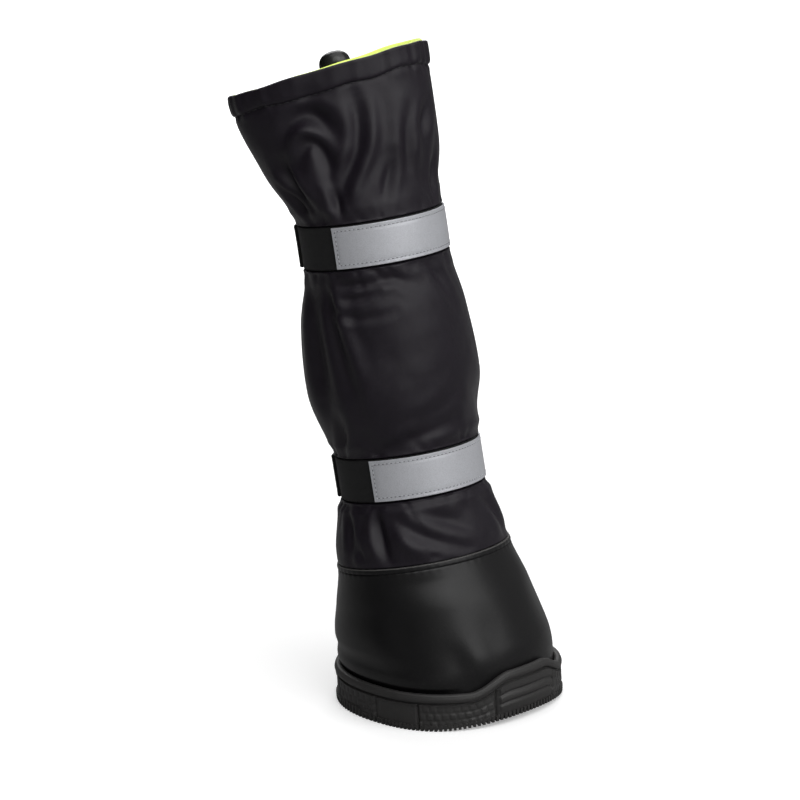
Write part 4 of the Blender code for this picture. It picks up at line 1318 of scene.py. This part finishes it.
def crease_depth(height, around):
    """The sum of all creases over a grid of heights and angles."""
    height, around = np.broadcast_arrays(height, around)
    total = np.zeros(height.shape)
    share = np.linspace(0.0, 1.0, CREASE_STEPS)
    for crease in CREASES:
        start, via, end = np.array((crease.start, crease.via, crease.end), dtype=float)
        pull = 2.0 * via - 0.5 * (start + end)
        along = share[:, None]
        path = (1 - along) ** 2 * start + 2 * along * (1 - along) * pull + along ** 2 * end
        reach = CREASE_REACH * crease.width
        level = height[:, 0] / MM
        rows = (level > path[:, 1].min() - reach) & (level < path[:, 1].max() + reach)
        across = turned(around[rows][..., None], path[:, 0]) * MM_PER_DEGREE
        up = height[rows][..., None] / MM - path[:, 1]
        far = np.hypot(across, up)
        nearest = far.argmin(axis=-1)
        far = far.min(axis=-1) / crease.width
        taper = np.sin(np.pi * (0.12 + 0.76 * share[nearest])) ** 1.3
        profile = hump(far, 1.0) - SIDE_RIDGE * hump(far - 2.1, 0.9)
        total[rows] += CREASE_STRENGTH * crease.depth * MM * taper * profile
    return total


# %% Small pleats at the straps, and unevenness
PLEATS_PER_EDGE = 22
UNEVEN_WAVES = 14
UNEVEN_SIZE = 0.055 * MM
pleat_rng = np.random.default_rng(23)


def strap_edges():
    """Every edge of the straps with the direction in which its pleats run."""
    half = STRAP_WIDTH / 2 + 0.4 * MM
    return [(height + side * half, side) for height in STRAP_HEIGHTS.values() for side in (-1.0, 1.0)]


def make_pleats():
    """Each pleat: the strap edge, its direction, angle, width, reach, slant and depth."""
    pleats = []
    for edge, side in strap_edges():
        for index in range(PLEATS_PER_EDGE):
            around = (index + pleat_rng.uniform(-0.42, 0.42)) * 360.0 / PLEATS_PER_EDGE
            wide = pleat_rng.uniform(1.3, 3.2)
            reach = pleat_rng.uniform(3.5, 10.0)
            slant = pleat_rng.uniform(-0.8, 0.8)
            depth = -pleat_rng.uniform(0.25, 0.95)
            pleats.append((edge, side, around, wide, reach, slant, depth))
    return pleats


PLEATS = make_pleats()
WAVES = [
    (pleat_rng.integers(2, 9), pleat_rng.uniform(30.0, 210.0), pleat_rng.uniform(0, 6.28),
     pleat_rng.uniform(0.3, 1.0))
    for _ in range(UNEVEN_WAVES)
]


print(len(PLEATS), "pleats and", len(WAVES), "waves")

# %% The depth of pleats and padding


def pleat_depth(height, around):
    total = 0.0
    for edge, side, middle, wide, reach, slant, depth in PLEATS:
        past = (height - edge) * side / MM
        fall = np.where(past > 0.0, np.exp(-np.maximum(past, 0.0) / reach), 0.0) * smooth(past / 1.2)
        across = turned(around, middle) * MM_PER_DEGREE - slant * past
        total = total + depth * fall * hump(across, wide * (0.7 + 0.05 * np.maximum(past, 0.0)))
    return total * MM


def unevenness(height, around):
    """The slow bumps of padding that is not quite even."""
    total = 0.0
    for count, often, phase, size in WAVES:
        total = total + size * np.sin(np.radians(around) * count + height * often + phase)
    return total * UNEVEN_SIZE


edge_height = np.full((1, 1), STRAP_HEIGHTS["upper"] - STRAP_WIDTH / 2 - 2 * MM)
print("pleats under the upper strap, mm:", np.round(pleat_depth(edge_height, ring_angles(8)) / MM, 2))

# %% [markdown]
# ## The nylon shaft
# The shaft is one hollow wall. Its outside carries the folds, creases and pleats, and it
# swells right beside each strap. At the top the cloth is turned over into a tunnel for the
# drawcord. The tunnel is gathered, so it has small ripples, its seam wanders, and its top edge
# is not quite level.

# %% The shaft's relief
NYLON_THICKNESS = 1.5 * MM
HEM_FULLNESS = 0.70 * MM
SHAFT_COLUMNS = 220
HEM_LOW = COLLAR_HEIGHT - HEM_WIDTH
HEM_TUCK = 0.45 * MM
EDGE_DROP = 0.7 * MM
PUFF = 2.6 * MM
PUFF_REACH = 5.5
RIM_WAVES = ((5, 0.4, 0.30), (11, 2.1, 0.20))
HEM_WAVES = ((9, 0.4, 0.26), (17, 2.1, 0.30), (31, 4.4, 0.20), (50, 1.2, 0.10))
HEM_SWING = ((3, 1.0, 0.35),)
SEAM_WAVES = ((4, 1.9, 0.45), (7, 0.3, 0.35), (13, 2.6, 0.20))


def free_cloth(height):
    """0 where the straps, the seam or the hem hold the cloth, 1 where it is free."""
    hold = smooth((height - SEAM_HEIGHT) / (3 * MM)) * smooth((HEM_LOW - height) / (4 * MM))
    for middle in STRAP_HEIGHTS.values():
        hold = hold * smooth((np.abs(height - middle) - STRAP_WIDTH / 2) / (1.6 * MM))
    return hold


def strap_puff(height):
    """The cloth swells right beside a strap that draws it in."""
    total = 0.0
    for middle in STRAP_HEIGHTS.values():
        past = (np.abs(height - middle) - STRAP_WIDTH / 2) / MM
        total = total + smooth((past - 0.1) / 0.8) * np.exp(-(np.maximum(past, 0.0) / PUFF_REACH) ** 2)
    return PUFF * total


def hem_ripple(height, around, waves):
    """The gathers of the drawcord tunnel."""
    on_hem = smooth((height - HEM_LOW + 5 * MM) / (5 * MM))
    swing = 0.65 + waves_around(around, HEM_SWING)
    return waves_around(around, waves) * MM * on_hem * swing


def shaft_points(height, around, out):
    """Points of the shaft with all its relief."""
    relief = crease_depth(height, around) + pleat_depth(height, around) + unevenness(height, around)
    relief = relief + dent_depth(height, around, CALF_HOLLOWS)
    tuck = HEM_TUCK * hump(height - HEM_LOW + 0.5 * MM, 0.8 * MM)
    moved = out + relief * free_cloth(height) + strap_puff(height) - tuck
    moved = moved + hem_ripple(height, around, HEM_WAVES)
    points = upper_points(height, around, moved)
    points[..., 2] += hem_ripple(height, around, RIM_WAVES)
    points[..., 2] += waves_around(around, SEAM_WAVES) * MM * hump(height - HEM_LOW, 3.5 * MM)
    return points


print("swelling 1 mm beside a strap, mm:",
      round(float(strap_puff(STRAP_HEIGHTS["lower"] + STRAP_WIDTH / 2 + MM)) / MM, 2))

# %% The shaft's wall


def shaft_lap_rows(out, extra):
    """The part that is lapped into the bucket, and the step out above the seam."""
    return [
        (SEAM_HEIGHT - SEAM_LAP, out - extra), (SEAM_HEIGHT - SEAM_LAP / 2, out - extra),
        (SEAM_HEIGHT + GAP, out - extra),
    ]


def shaft_heights(low, high):
    """Even rows, and a few more right beside the straps, where the cloth swells steeply."""
    close = np.array((0.05, 0.2, 0.4, 0.6, 0.8, 1.1, 1.5)) * MM + STRAP_WIDTH / 2
    beside = [middle + side * close for middle in STRAP_HEIGHTS.values() for side in (-1.0, 1.0)]
    return np.sort(np.concatenate([np.linspace(low, high, 230)] + beside))


def make_shaft():
    lap_out = -VAMP_WALL - GAP
    start = SEAM_HEIGHT + 2 * GAP
    outside = shaft_lap_rows(lap_out, 0.0)
    outside += [(height, -SHAFT_STEP) for height in shaft_heights(start, HEM_LOW - 0.4 * MM)]
    for share in np.linspace(0.0, 1.0, 14):
        outside.append((mix(HEM_LOW, COLLAR_HEIGHT - EDGE_DROP, share),
                        HEM_FULLNESS * math.sin(math.pi * mix(0.12, 0.80, share)) ** 0.6))
    inner = -SHAFT_STEP - NYLON_THICKNESS
    for turn in np.radians(np.linspace(20.0, 160.0, 8)):
        outside.append((COLLAR_HEIGHT - EDGE_DROP * (1.0 - math.sin(turn)),
                        mix(inner, 0.5 * HEM_FULLNESS, 0.5 + 0.5 * math.cos(turn))))
    inside = shaft_lap_rows(lap_out, 0.7 * MM)
    inside += [(height, inner) for height in np.linspace(start + 3 * MM, COLLAR_HEIGHT - MM, 118)]
    grid = wall_grid(outside, inside, ring_angles(SHAFT_COLUMNS), shaft_points)
    return skin("shaft_nylon", grid, NYLON, sharp=60.0)


set_out(make_shaft(), "nylon", "shaft")

# %% [markdown]
# ## The lining
# The shaft is lined with bright lime cloth. It runs from the insole to the collar and stands
# a little over the rim at the back, where a thin line of it shows. It is a shell of its own,
# just inside the nylon, because it has its own cloth and its painted light near the rim, and
# it is made from the same function, so that it follows every fold.

# %% The lining's shell
LINING_THICKNESS = 0.7 * MM
LINING_COLUMNS = 200
RIM_ROLL = 2.2 * MM
RIM_ROLL_ANGLE = 96.0


def lining_points(height, around, out):
    """The lining follows the nylon. Behind the leg it stands a little over the rim."""
    points = shaft_points(height, around, out)
    over = smooth((height - COLLAR_HEIGHT + 3 * MM) / (3 * MM)) * hump(turned(around, RIM_ROLL_ANGLE), 62.0)
    points[..., 2] += RIM_ROLL * over
    return points


def make_lining():
    bottom = FLOOR_TOP + INSOLE_THICKNESS + 3 * GAP
    lap_low = SEAM_HEIGHT - SEAM_LAP
    foot_out = -LEATHER_THICKNESS - 0.1 * MM
    lap_out = -VAMP_WALL - GAP - 0.8 * MM
    shaft_out = -SHAFT_STEP - NYLON_THICKNESS - 0.1 * MM
    outside = [(height, foot_out) for height in np.linspace(bottom, lap_low - 2 * MM, 14)]
    outside += [(lap_low - 0.3 * MM, lap_out), (SEAM_HEIGHT + GAP, lap_out)]
    inside = [(height, out - LINING_THICKNESS) for height, out in outside]
    outside += [(height, shaft_out) for height in np.linspace(SEAM_HEIGHT + 4 * MM, COLLAR_HEIGHT, 60)]
    inside += [
        (height, shaft_out - LINING_THICKNESS)
        for height in np.linspace(SEAM_HEIGHT + 4 * MM, COLLAR_HEIGHT - 0.4 * MM, 130)
    ]
    rim_low = COLLAR_HEIGHT - 1.0 * MM
    middle = shaft_out - LINING_THICKNESS / 2
    half = LINING_THICKNESS / 2
    for turn in np.radians(np.linspace(12.0, 160.0, 9)):
        outside.append((rim_low + 0.75 * MM * math.sin(turn) ** 0.7, middle + half * math.cos(turn)))
    grid = wall_grid(outside, inside, ring_angles(LINING_COLUMNS), lining_points)
    return skin("lining_shell", grid, LINING, sharp=70.0)


set_out(make_lining(), "lining")

# %% [markdown]
# ## Straps and tape
# Each strap is a loop of webbing whose free end is laid over itself at the back and held by
# hook and loop. Over its front a strip of silver tape is sewn. Webbing and tape keep their
# section all the way round, so both are a small profile that is swept along the shaft's own
# surface.

# %% Profiles that follow the shaft


def flat_profile(width, base, thickness, rounding, steps=4, middle=6):
    """Offsets up the outside and down the inside of a flat band with round edges."""
    half = width / 2
    outside = []
    for turn in np.radians(np.linspace(-75.0, 0.0, steps)):
        outside.append((-half + rounding * (1.0 + math.sin(turn)),
                        base + thickness - rounding * (1.0 - math.cos(turn))))
    spread = np.linspace(-1.0, 1.0, middle + 2)[1:-1]
    outside += [(share * (half - rounding), base + thickness) for share in spread]
    outside += [(-offset, out) for offset, out in reversed(outside[:steps])]
    inside = [(-half + rounding / 3, base), (0.0, base), (half - rounding / 3, base)]
    return outside, inside


def band_grid(height, profile, around, swell):
    """A band round the shaft. swell changes its thickness along it."""
    offset, out = wall_rows(*profile)
    return upper_points(height + offset, around, out + swell(offset, around))


# %% Webbing
STRAP_END_FROM_ANGLE = 148.0
STRAP_END_TO_ANGLE = 222.0
STRAP_END_ROUND_ANGLE = 1.6
STRAP_ROUNDING = 0.5 * MM
STRAP_COLUMNS = 300


def webbing_ribs(offset, around):
    """Two selvedges, and a hint of the ribs across the webbing."""
    edge = 0.12 * MM * hump(np.abs(offset) - STRAP_WIDTH / 2 + 0.9 * MM, 0.5 * MM)
    return edge + 0.05 * MM * np.sin(np.radians(around) * 150.0)


def make_strap(name, height):
    loop = flat_profile(STRAP_WIDTH, GAP, STRAP_THICKNESS, STRAP_ROUNDING)
    grid = band_grid(height, loop, ring_angles(STRAP_COLUMNS), webbing_ribs)
    set_out(skin(name + "_webbing", grid, WEBBING), "webbing", name)
    ends = np.linspace(STRAP_END_FROM_ANGLE, STRAP_END_TO_ANGLE, 90)
    over = flat_profile(STRAP_WIDTH, GAP + STRAP_THICKNESS, STRAP_THICKNESS, STRAP_ROUNDING)

    def tucked(offset, around):
        """The layer gets thinner at its two rounded ends."""
        from_end = np.minimum(around - STRAP_END_FROM_ANGLE, STRAP_END_TO_ANGLE - around)
        thin = 1.0 - smooth(from_end / STRAP_END_ROUND_ANGLE)
        return webbing_ribs(offset, around) - STRAP_ROUNDING * thin

    end = skin(name + "_end", band_grid(height, over, ends, tucked), WEBBING, wrap_columns=False)
    set_out(end, "webbing")


for label, height in STRAP_HEIGHTS.items():
    make_strap("strap_" + label, height)

# %% Reflective tape
TAPE_HALF_ANGLE = 76.0
TAPE_THICKNESS = 0.6 * MM
TAPE_WIDTH = 16.4 * MM
TAPE_BASE = 2 * GAP + STRAP_THICKNESS
TAPE_STITCH_INSET = 1.5 * MM
TAPE_PITCH = 1.75 * MM
TAPE_COLUMNS = 200


def stitch_furrow(offset, around):
    """The tape is pressed down a little along its stitches."""
    end = (TAPE_HALF_ANGLE - np.abs(around)) * MM_PER_DEGREE * MM
    side = TAPE_WIDTH / 2 - np.abs(offset)
    near = np.minimum(end, side)
    quilt = 0.06 * MM * np.sin(np.radians(around) * 47.0) * hump(side - 0.3 * MM, 1.2 * MM)
    return -0.16 * MM * hump(near - TAPE_STITCH_INSET, 0.7 * MM) + quilt


def make_tape(name, height):
    profile = flat_profile(TAPE_WIDTH, TAPE_BASE, TAPE_THICKNESS, 0.2 * MM, middle=28)
    around = np.linspace(-TAPE_HALF_ANGLE, TAPE_HALF_ANGLE, TAPE_COLUMNS)
    grid = band_grid(height, profile, around, stitch_furrow)
    set_out(skin(name + "_silver", grid, TAPE, wrap_columns=False), "tape", name)


for label, height in STRAP_HEIGHTS.items():
    make_tape("tape_" + label, height)

# %% [markdown]
# ## Stitches from Geometry Nodes
# A sewing machine makes equal stitches along a line. The line is a chain of edges on the
# surface, and each of its points carries the direction that points out of the cloth. The
# tree spaces small beads of thread along it, turns them to the line and makes them real.

# %% The stitch tree


def build_stitch_tree():
    tree, given, result = geometry_tree("row of stitches", [
        ("Stitches", "Int"), ("Length", "Float"), ("Thickness", "Float"), ("Seed", "Int"),
        ("Thread", "Material"),
    ])
    line = add_node(tree, "GeometryNodeMeshToCurve", {"Mesh": given["Geometry"]}).outputs[0]
    spaced = add_node(tree, "GeometryNodeResampleCurve", {
        "Curve": line, "Count": given["Stitches"],
    }, mode="COUNT").outputs[0]
    bead = add_node(tree, "GeometryNodeMeshUVSphere", {"Segments": 8, "Rings": 6, "Radius": 0.5})
    size = add_node(tree, "ShaderNodeCombineXYZ", {
        "X": given["Length"], "Y": given["Thickness"], "Z": given["Thickness"],
    }).outputs[0]
    bead = add_node(tree, "GeometryNodeTransform", {"Geometry": bead.outputs["Mesh"], "Scale": size})
    bead = add_node(tree, "GeometryNodeSetShadeSmooth", {"Geometry": bead.outputs[0]})
    tangent = tree.nodes.new("GeometryNodeInputTangent").outputs[0]
    uneven = add_node(tree, "FunctionNodeRandomValue", {
        "Min": (0.90, 0.92, 0.90), "Max": (1.06, 1.08, 1.10), "Seed": given["Seed"],
    }, data_type="FLOAT_VECTOR").outputs["Value"]
    placed = add_node(tree, "GeometryNodeInstanceOnPoints", {
        "Points": spaced, "Instance": bead.outputs[0],
        "Rotation": facing(tree, tangent, named_vector(tree, "out"), "XZ"), "Scale": uneven,
    })
    end_tree(tree, result, placed.outputs[0], given["Thread"])
    return tree


STITCH_TREE = build_stitch_tree()
print("inputs:", [item.name for item in STITCH_TREE.interface.items_tree if item.in_out == "INPUT"])

# %% Sizes of the seams
LONG_SIDE = 100
SHORT_SIDE = 12
SEWN_ANGLE = 24.0
SEWN_INSET = 1.6 * MM
SEWN_FROM_EDGE = 2.0 * MM
HEM_LINE_POINTS = 240
HEM_STITCH_DROP = 0.5 * MM
Seam = namedtuple("Seam", "pitch length thickness thread slot")
TAPE_SEAM = Seam(TAPE_PITCH, 1.0 * MM, 0.40 * MM, TAPE_THREAD, "tape")
# The hole dots are painted shade: dark beads between the stitches.
TAPE_HOLE_SHADES = Seam(TAPE_PITCH / 2, 0.8 * MM, 0.30 * MM, PAINTED_HOLE_SHADE, "tape")
STRAP_SEAM = Seam(2.4 * MM, 1.9 * MM, 0.5 * MM, BLACK_THREAD, "webbing")
HEM_SEAM = Seam(3.0 * MM, 2.4 * MM, 0.45 * MM, BLACK_THREAD, "nylon")
seam_pitches = [seam.pitch / MM for seam in (TAPE_SEAM, STRAP_SEAM, HEM_SEAM)]
print("pitch of the stitches, mm:", np.round(seam_pitches, 1))

# %% Lines on the surface


def surface_line(around, height, out, place):
    """Points along a line on the surface, and the directions out of it."""
    around = np.asarray(around, dtype=float)[:, None]
    height = np.asarray(height, dtype=float)[:, None]
    here = place(height, around, out)[:, 0]
    beside = place(height, around + 0.5, out)[:, 0]
    above = place(height + 0.4 * MM, around, out)[:, 0]
    normal = np.cross(beside - here, above - here)
    return here, normal / np.linalg.norm(normal, axis=1)[:, None]


def sew(name, line, seam, seed):
    """Sew round a closed line, which is points and the directions out of the cloth."""
    points, outs = line
    edges = [(i, (i + 1) % len(points)) for i in range(len(points))]
    run = np.linalg.norm(np.roll(points, -1, axis=0) - points, axis=1).sum()
    host = host_mesh(name + "_line", points, edges, out=outs)
    made = grow(name, host, STITCH_TREE, stitches=round(run / seam.pitch), length=seam.length,
                thickness=seam.thickness, seed=seed, thread=seam.thread)
    set_out(made, seam.slot)


def box_line(middle, around_low, around_high, inset, half_height):
    """A closed rectangle on a band, given in angles and heights."""
    low = around_low + inset / (MM_PER_DEGREE * MM)
    high = around_high - inset / (MM_PER_DEGREE * MM)
    along = np.linspace(low, high, LONG_SIDE)
    up = np.linspace(-half_height, half_height, SHORT_SIDE)
    around = np.concatenate([along[:-1], np.full(SHORT_SIDE - 1, high),
                             along[:0:-1], np.full(SHORT_SIDE - 1, low)])
    height = np.concatenate([np.full(LONG_SIDE - 1, -half_height), up[:-1],
                             np.full(LONG_SIDE - 1, half_height), up[:0:-1]])
    return around, middle + height


# %% Sewing the boot
for seed, (label, middle) in enumerate(STRAP_HEIGHTS.items()):
    box = box_line(
        middle, -TAPE_HALF_ANGLE, TAPE_HALF_ANGLE, TAPE_STITCH_INSET, TAPE_WIDTH / 2 - TAPE_STITCH_INSET,
    )
    line = surface_line(*box, TAPE_BASE + TAPE_THICKNESS - 0.06 * MM, upper_points)
    sew("tape_stitches_" + label, line, TAPE_SEAM, seed)
    # Dark dots of painted shade for the needle holes.
    sew("tape_holes_" + label, line, TAPE_HOLE_SHADES, seed)
    box = box_line(
        middle, STRAP_END_FROM_ANGLE, STRAP_END_FROM_ANGLE + SEWN_ANGLE, SEWN_INSET,
        STRAP_WIDTH / 2 - SEWN_FROM_EDGE,
    )
    line = surface_line(*box, GAP + 2 * STRAP_THICKNESS, upper_points)
    sew("strap_stitches_" + label, line, STRAP_SEAM, seed + 5)

hem_height = np.full(HEM_LINE_POINTS, HEM_LOW - HEM_STITCH_DROP)
line = surface_line(ring_angles(HEM_LINE_POINTS), hem_height, -0.1 * MM, shaft_points)
sew("hem_stitches", line, HEM_SEAM, 3)

# %% [markdown]
# ## The drawcord and its stop
# The drawcord runs inside the hem. Its doubled end comes out at the back and goes into a
# glossy oval stop that leans on the rim. The stop is turned from one rounded outline, and
# its bore is part of the same skin. The cord is a tube along the short U of its route.

# %% The stop's place
STOP_WIDTH = 13 * MM
STOP_HEIGHT = 10 * MM
STOP_DEPTH = 9 * MM
STOP_ANGLE = 131.0
RIM_STEP_ANGLE = 4.0
STOP_ROUNDNESS = 0.80
STOP_SINK = 3.5 * MM
CORD_DIAMETER = 1.8 * MM
CORD_SPACING = 3.0 * MM
CORD_DROP = 4.8 * MM
CORD_STAND_OFF = 1.2 * MM
CORD_IN_STOP = 4.0 * MM


def stop_frame():
    """The stop's base just outside the rim, and its directions: side, outward and up."""
    level = COLLAR_HEIGHT - HEM_PROUD
    rim_out = Vector(upper_points(level, STOP_ANGLE, HEM_PROUD))
    rim_in = Vector(upper_points(level, STOP_ANGLE, -SHAFT_WALL))
    rim_beside = Vector(upper_points(level, STOP_ANGLE + RIM_STEP_ANGLE, HEM_PROUD))
    outward = (rim_out - rim_in).normalized()
    up = outward.cross(rim_beside - rim_out).normalized()
    side = up.cross(outward).normalized()
    base = rim_out + outward * (STOP_DEPTH / 2 + GAP) - up * (STOP_SINK - HEM_PROUD)
    return np.array(base), np.array(side), np.array(outward), np.array(up)


STOP_BASE, STOP_SIDE, STOP_OUT, STOP_UP = stop_frame()
print("the stop's base, mm:", np.round(STOP_BASE / MM, 1))


def at_stop(local):
    """World points from local ones: across, outwards and up."""
    local = np.asarray(local, dtype=float)
    return STOP_BASE + local[..., :1] * STOP_SIDE + local[..., 1:2] * STOP_OUT + local[..., 2:] * STOP_UP


# %% The stop
STOP_COLUMNS = 56
STOP_LEVELS = 26


def make_stop():
    turn = -np.radians(ring_angles(STOP_COLUMNS))
    low_climb, high_climb = -0.41 * math.pi, 0.45 * math.pi
    bore_x = (CORD_SPACING + CORD_DIAMETER) / 2 + 2 * GAP
    bore_y = CORD_DIAMETER / 2 + 2 * GAP
    deep = CORD_IN_STOP + CORD_DIAMETER / 2 + 2 * GAP
    rows = [(bore_x, bore_y, deep), (bore_x, bore_y, 0.3 * MM), (bore_x + 0.3 * MM, bore_y + 0.3 * MM, 0.0)]
    for climb in np.linspace(low_climb, high_climb, STOP_LEVELS):
        girth = math.cos(climb) ** STOP_ROUNDNESS
        rise = STOP_HEIGHT / 2 * (math.sin(climb) / math.sin(-low_climb) + 1.0)
        rows.append((STOP_WIDTH / 2 * girth, STOP_DEPTH / 2 * girth, rise))
    top = rows[-1]
    rows.append((top[0] * 0.6, top[1] * 0.6, top[2] + 0.08 * MM))
    rows.append((top[0] * 0.2, top[1] * 0.2, top[2] + 0.10 * MM))
    local = np.array([
        np.stack([wide * np.cos(turn), deep_y * np.sin(turn), np.full(STOP_COLUMNS, rise)], -1)
        for wide, deep_y, rise in rows
    ])
    return skin("cord_stop_body", at_stop(local), GLOSS, wrap_rows=False, sharp=50.0)


set_out(make_stop(), "stop_plastic", "cord_stop")

# %% The drawcord's route


def cord_route():
    """Out of the hem, up along it, over in the stop's bore and back down."""
    half = CORD_SPACING / 2
    away = STOP_DEPTH / 2
    near = CORD_STAND_OFF - away
    leg = [(half, near - GAP, -CORD_DROP)]
    for turn in np.radians((0.0, 30.0, 60.0, 90.0)):
        leg.append((half, near * (1.0 - math.sin(turn)), -CORD_DROP * (0.08 + 0.92 * math.cos(turn))))
    leg.append((half, 0.0, CORD_IN_STOP - half))
    arc = [
        (half * math.cos(turn), 0.0, CORD_IN_STOP - half + half * math.sin(turn))
        for turn in np.pi * np.array((0.25, 0.50, 0.75))
    ]
    return leg + arc + [(-x, y, z) for x, y, z in reversed(leg)]


def smooth_path(points, steps):
    """A Catmull-Rom curve through the points."""
    points = np.asarray(points, dtype=float)
    padded = np.concatenate([2 * points[:1] - points[1:2], points, 2 * points[-1:] - points[-2:-1]])
    t = np.linspace(0.0, 1.0, steps, endpoint=False)[:, None]
    pieces = []
    for p0, p1, p2, p3 in zip(padded, padded[1:], padded[2:], padded[3:]):
        pieces.append(0.5 * (2 * p1 + (p2 - p0) * t + (2 * p0 - 5 * p1 + 4 * p2 - p3) * t ** 2
                             + (3 * p1 - p0 - 3 * p2 + p3) * t ** 3))
    return np.concatenate(pieces + [points[-1:]])


def tube_grid(path, radius, sides):
    """Rings of points along a path, each turned on from the last."""
    tangent = np.gradient(path, axis=0)
    tangent /= np.linalg.norm(tangent, axis=1)[:, None]
    turn = np.radians(ring_angles(sides))[:, None]
    normal = np.cross(tangent[0], (0.31, 0.52, 0.79))
    rings = []
    for point, along in zip(path, tangent):
        normal = normal - along * np.dot(normal, along)
        normal = normal / np.linalg.norm(normal)
        beside = np.cross(along, normal)
        rings.append(point + radius * (np.cos(turn) * normal + np.sin(turn) * beside))
    return np.stack(rings)


# %% The cord's tube
cord_path = smooth_path(at_stop(cord_route()), 6)
cord_length = np.linalg.norm(np.diff(cord_path, axis=0), axis=1).sum()
print("drawcord's doubled end:", round(cord_length / MM, 1), "mm")
cord_grid = tube_grid(cord_path, CORD_DIAMETER / 2, 14)
set_out(skin("drawcord_end", cord_grid, CORD, wrap_rows=False), "cord", "drawcord")

# %% [markdown]
# ## Floor and light
# The boot stands on a plain white floor. To the camera the floor glows more with distance,
# so it runs into the white room without a horizon, while near the boot it keeps the contact
# shadow. Black cloth and leather show their form only by what they reflect. A wide soft key
# from the toe's side draws the bright band on the leather, a weaker one high in front widens
# it to the left, and two more light the back and the top. The room lights the boot least from
# the left and behind, so that side stays dark and the round form reads.

# %% The floor
WHITE = (1.0, 1.0, 1.0, 1.0)
FLOOR_HALF = 4.0
FLOOR_GLOW = 0.34
GLOW_NEAR = 0.25
GLOW_FAR = 1.6
FLOOR_SEEN = 0.86
FLOOR_MIRRORED = 0.30


def make_floor():
    """A wide plain floor: white to look at, darker where the boot mirrors it."""
    mesh = bpy.data.meshes.new("floor")
    corners = ((-1.0, -1.0), (1.0, -1.0), (1.0, 1.0), (-1.0, 1.0))
    mesh.from_pydata([(x * FLOOR_HALF, y * FLOOR_HALF, 0.0) for x, y in corners], [], [(0, 1, 2, 3)])
    material, tree, shader = finish("white_floor", (FLOOR_SEEN,) * 3, 0.75, Specular_IOR_Level=0.2)
    seen = add_node(tree, "ShaderNodeLightPath").outputs["Is Camera Ray"]
    tone = mix_colours(tree, seen, (*(FLOOR_MIRRORED,) * 3, 1.0), (*(FLOOR_SEEN,) * 3, 1.0))
    tree.links.new(tone, shader.inputs["Base Color"])
    shader.inputs["Emission Color"].default_value = WHITE
    far = add_node(tree, "ShaderNodeVectorMath", {0: object_place(tree)}, operation="LENGTH")
    glow = remap(tree, far.outputs["Value"], GLOW_NEAR, GLOW_FAR, FLOOR_GLOW, 1.0)
    tree.links.new(maths(tree, "MULTIPLY", seen, glow), shader.inputs["Emission Strength"])
    mesh.materials.append(material)
    made = add_object("floor", mesh)
    return made


print("floor:", [round(size, 1) for size in make_floor().dimensions], "m")

# %% Lights
LIGHT_TARGET = Vector((0.0, 0.0, 0.11))
ROOM_AZIMUTH = math.radians(10.0)
ROOM_RISE = 0.45
ROOM_DARK = 0.02
ROOM_BRIGHT = 0.40


def aim_light(name, azimuth, elevation, distance, size, power):
    """A square area light that looks at the middle of the boot."""
    data = bpy.data.lights.new(name, "AREA")
    data.shape = "SQUARE"
    data.size = size
    data.energy = power
    made = add_object(name, data)
    made.matrix_world = looking_at(LIGHT_TARGET, direction(azimuth, elevation), distance)
    return made


def make_room():
    """White to look at. It lights the boot less, and least from the left and the back."""
    made = bpy.data.worlds.new("white_room")
    made.use_nodes = True
    tree = made.node_tree
    toward_room = add_node(tree, "ShaderNodeTexCoord").outputs["Generated"]
    bright_side = Vector((math.sin(ROOM_AZIMUTH), -math.cos(ROOM_AZIMUTH), ROOM_RISE)).normalized()
    facing_it = add_node(
        tree, "ShaderNodeVectorMath", {0: toward_room, 1: bright_side}, operation="DOT_PRODUCT",
    ).outputs["Value"]
    room = remap(tree, facing_it, -0.5, 0.9, ROOM_DARK, ROOM_BRIGHT)
    seen = add_node(tree, "ShaderNodeLightPath").outputs["Is Camera Ray"]
    strength = add_node(tree, "ShaderNodeMix", {0: seen, 2: room, 3: 1.0}).outputs[0]
    tree.links.new(strength, tree.nodes["Background"].inputs["Strength"])
    tree.nodes["Background"].inputs["Color"].default_value = WHITE
    return made


aim_light("right_key", 0.0, 34.0, 1.3, 1.1, 8.0)
aim_light("front_fill", -42.0, 50.0, 1.4, 0.8, 3.6)
aim_light("back_fill", 140.0, 40.0, 1.4, 1.0, 9.0)
aim_light("overhead", 0.0, 82.0, 1.5, 1.4, 7.0)
SCENE.world = make_room()
print("lights:", [light.name for light in bpy.data.lights])
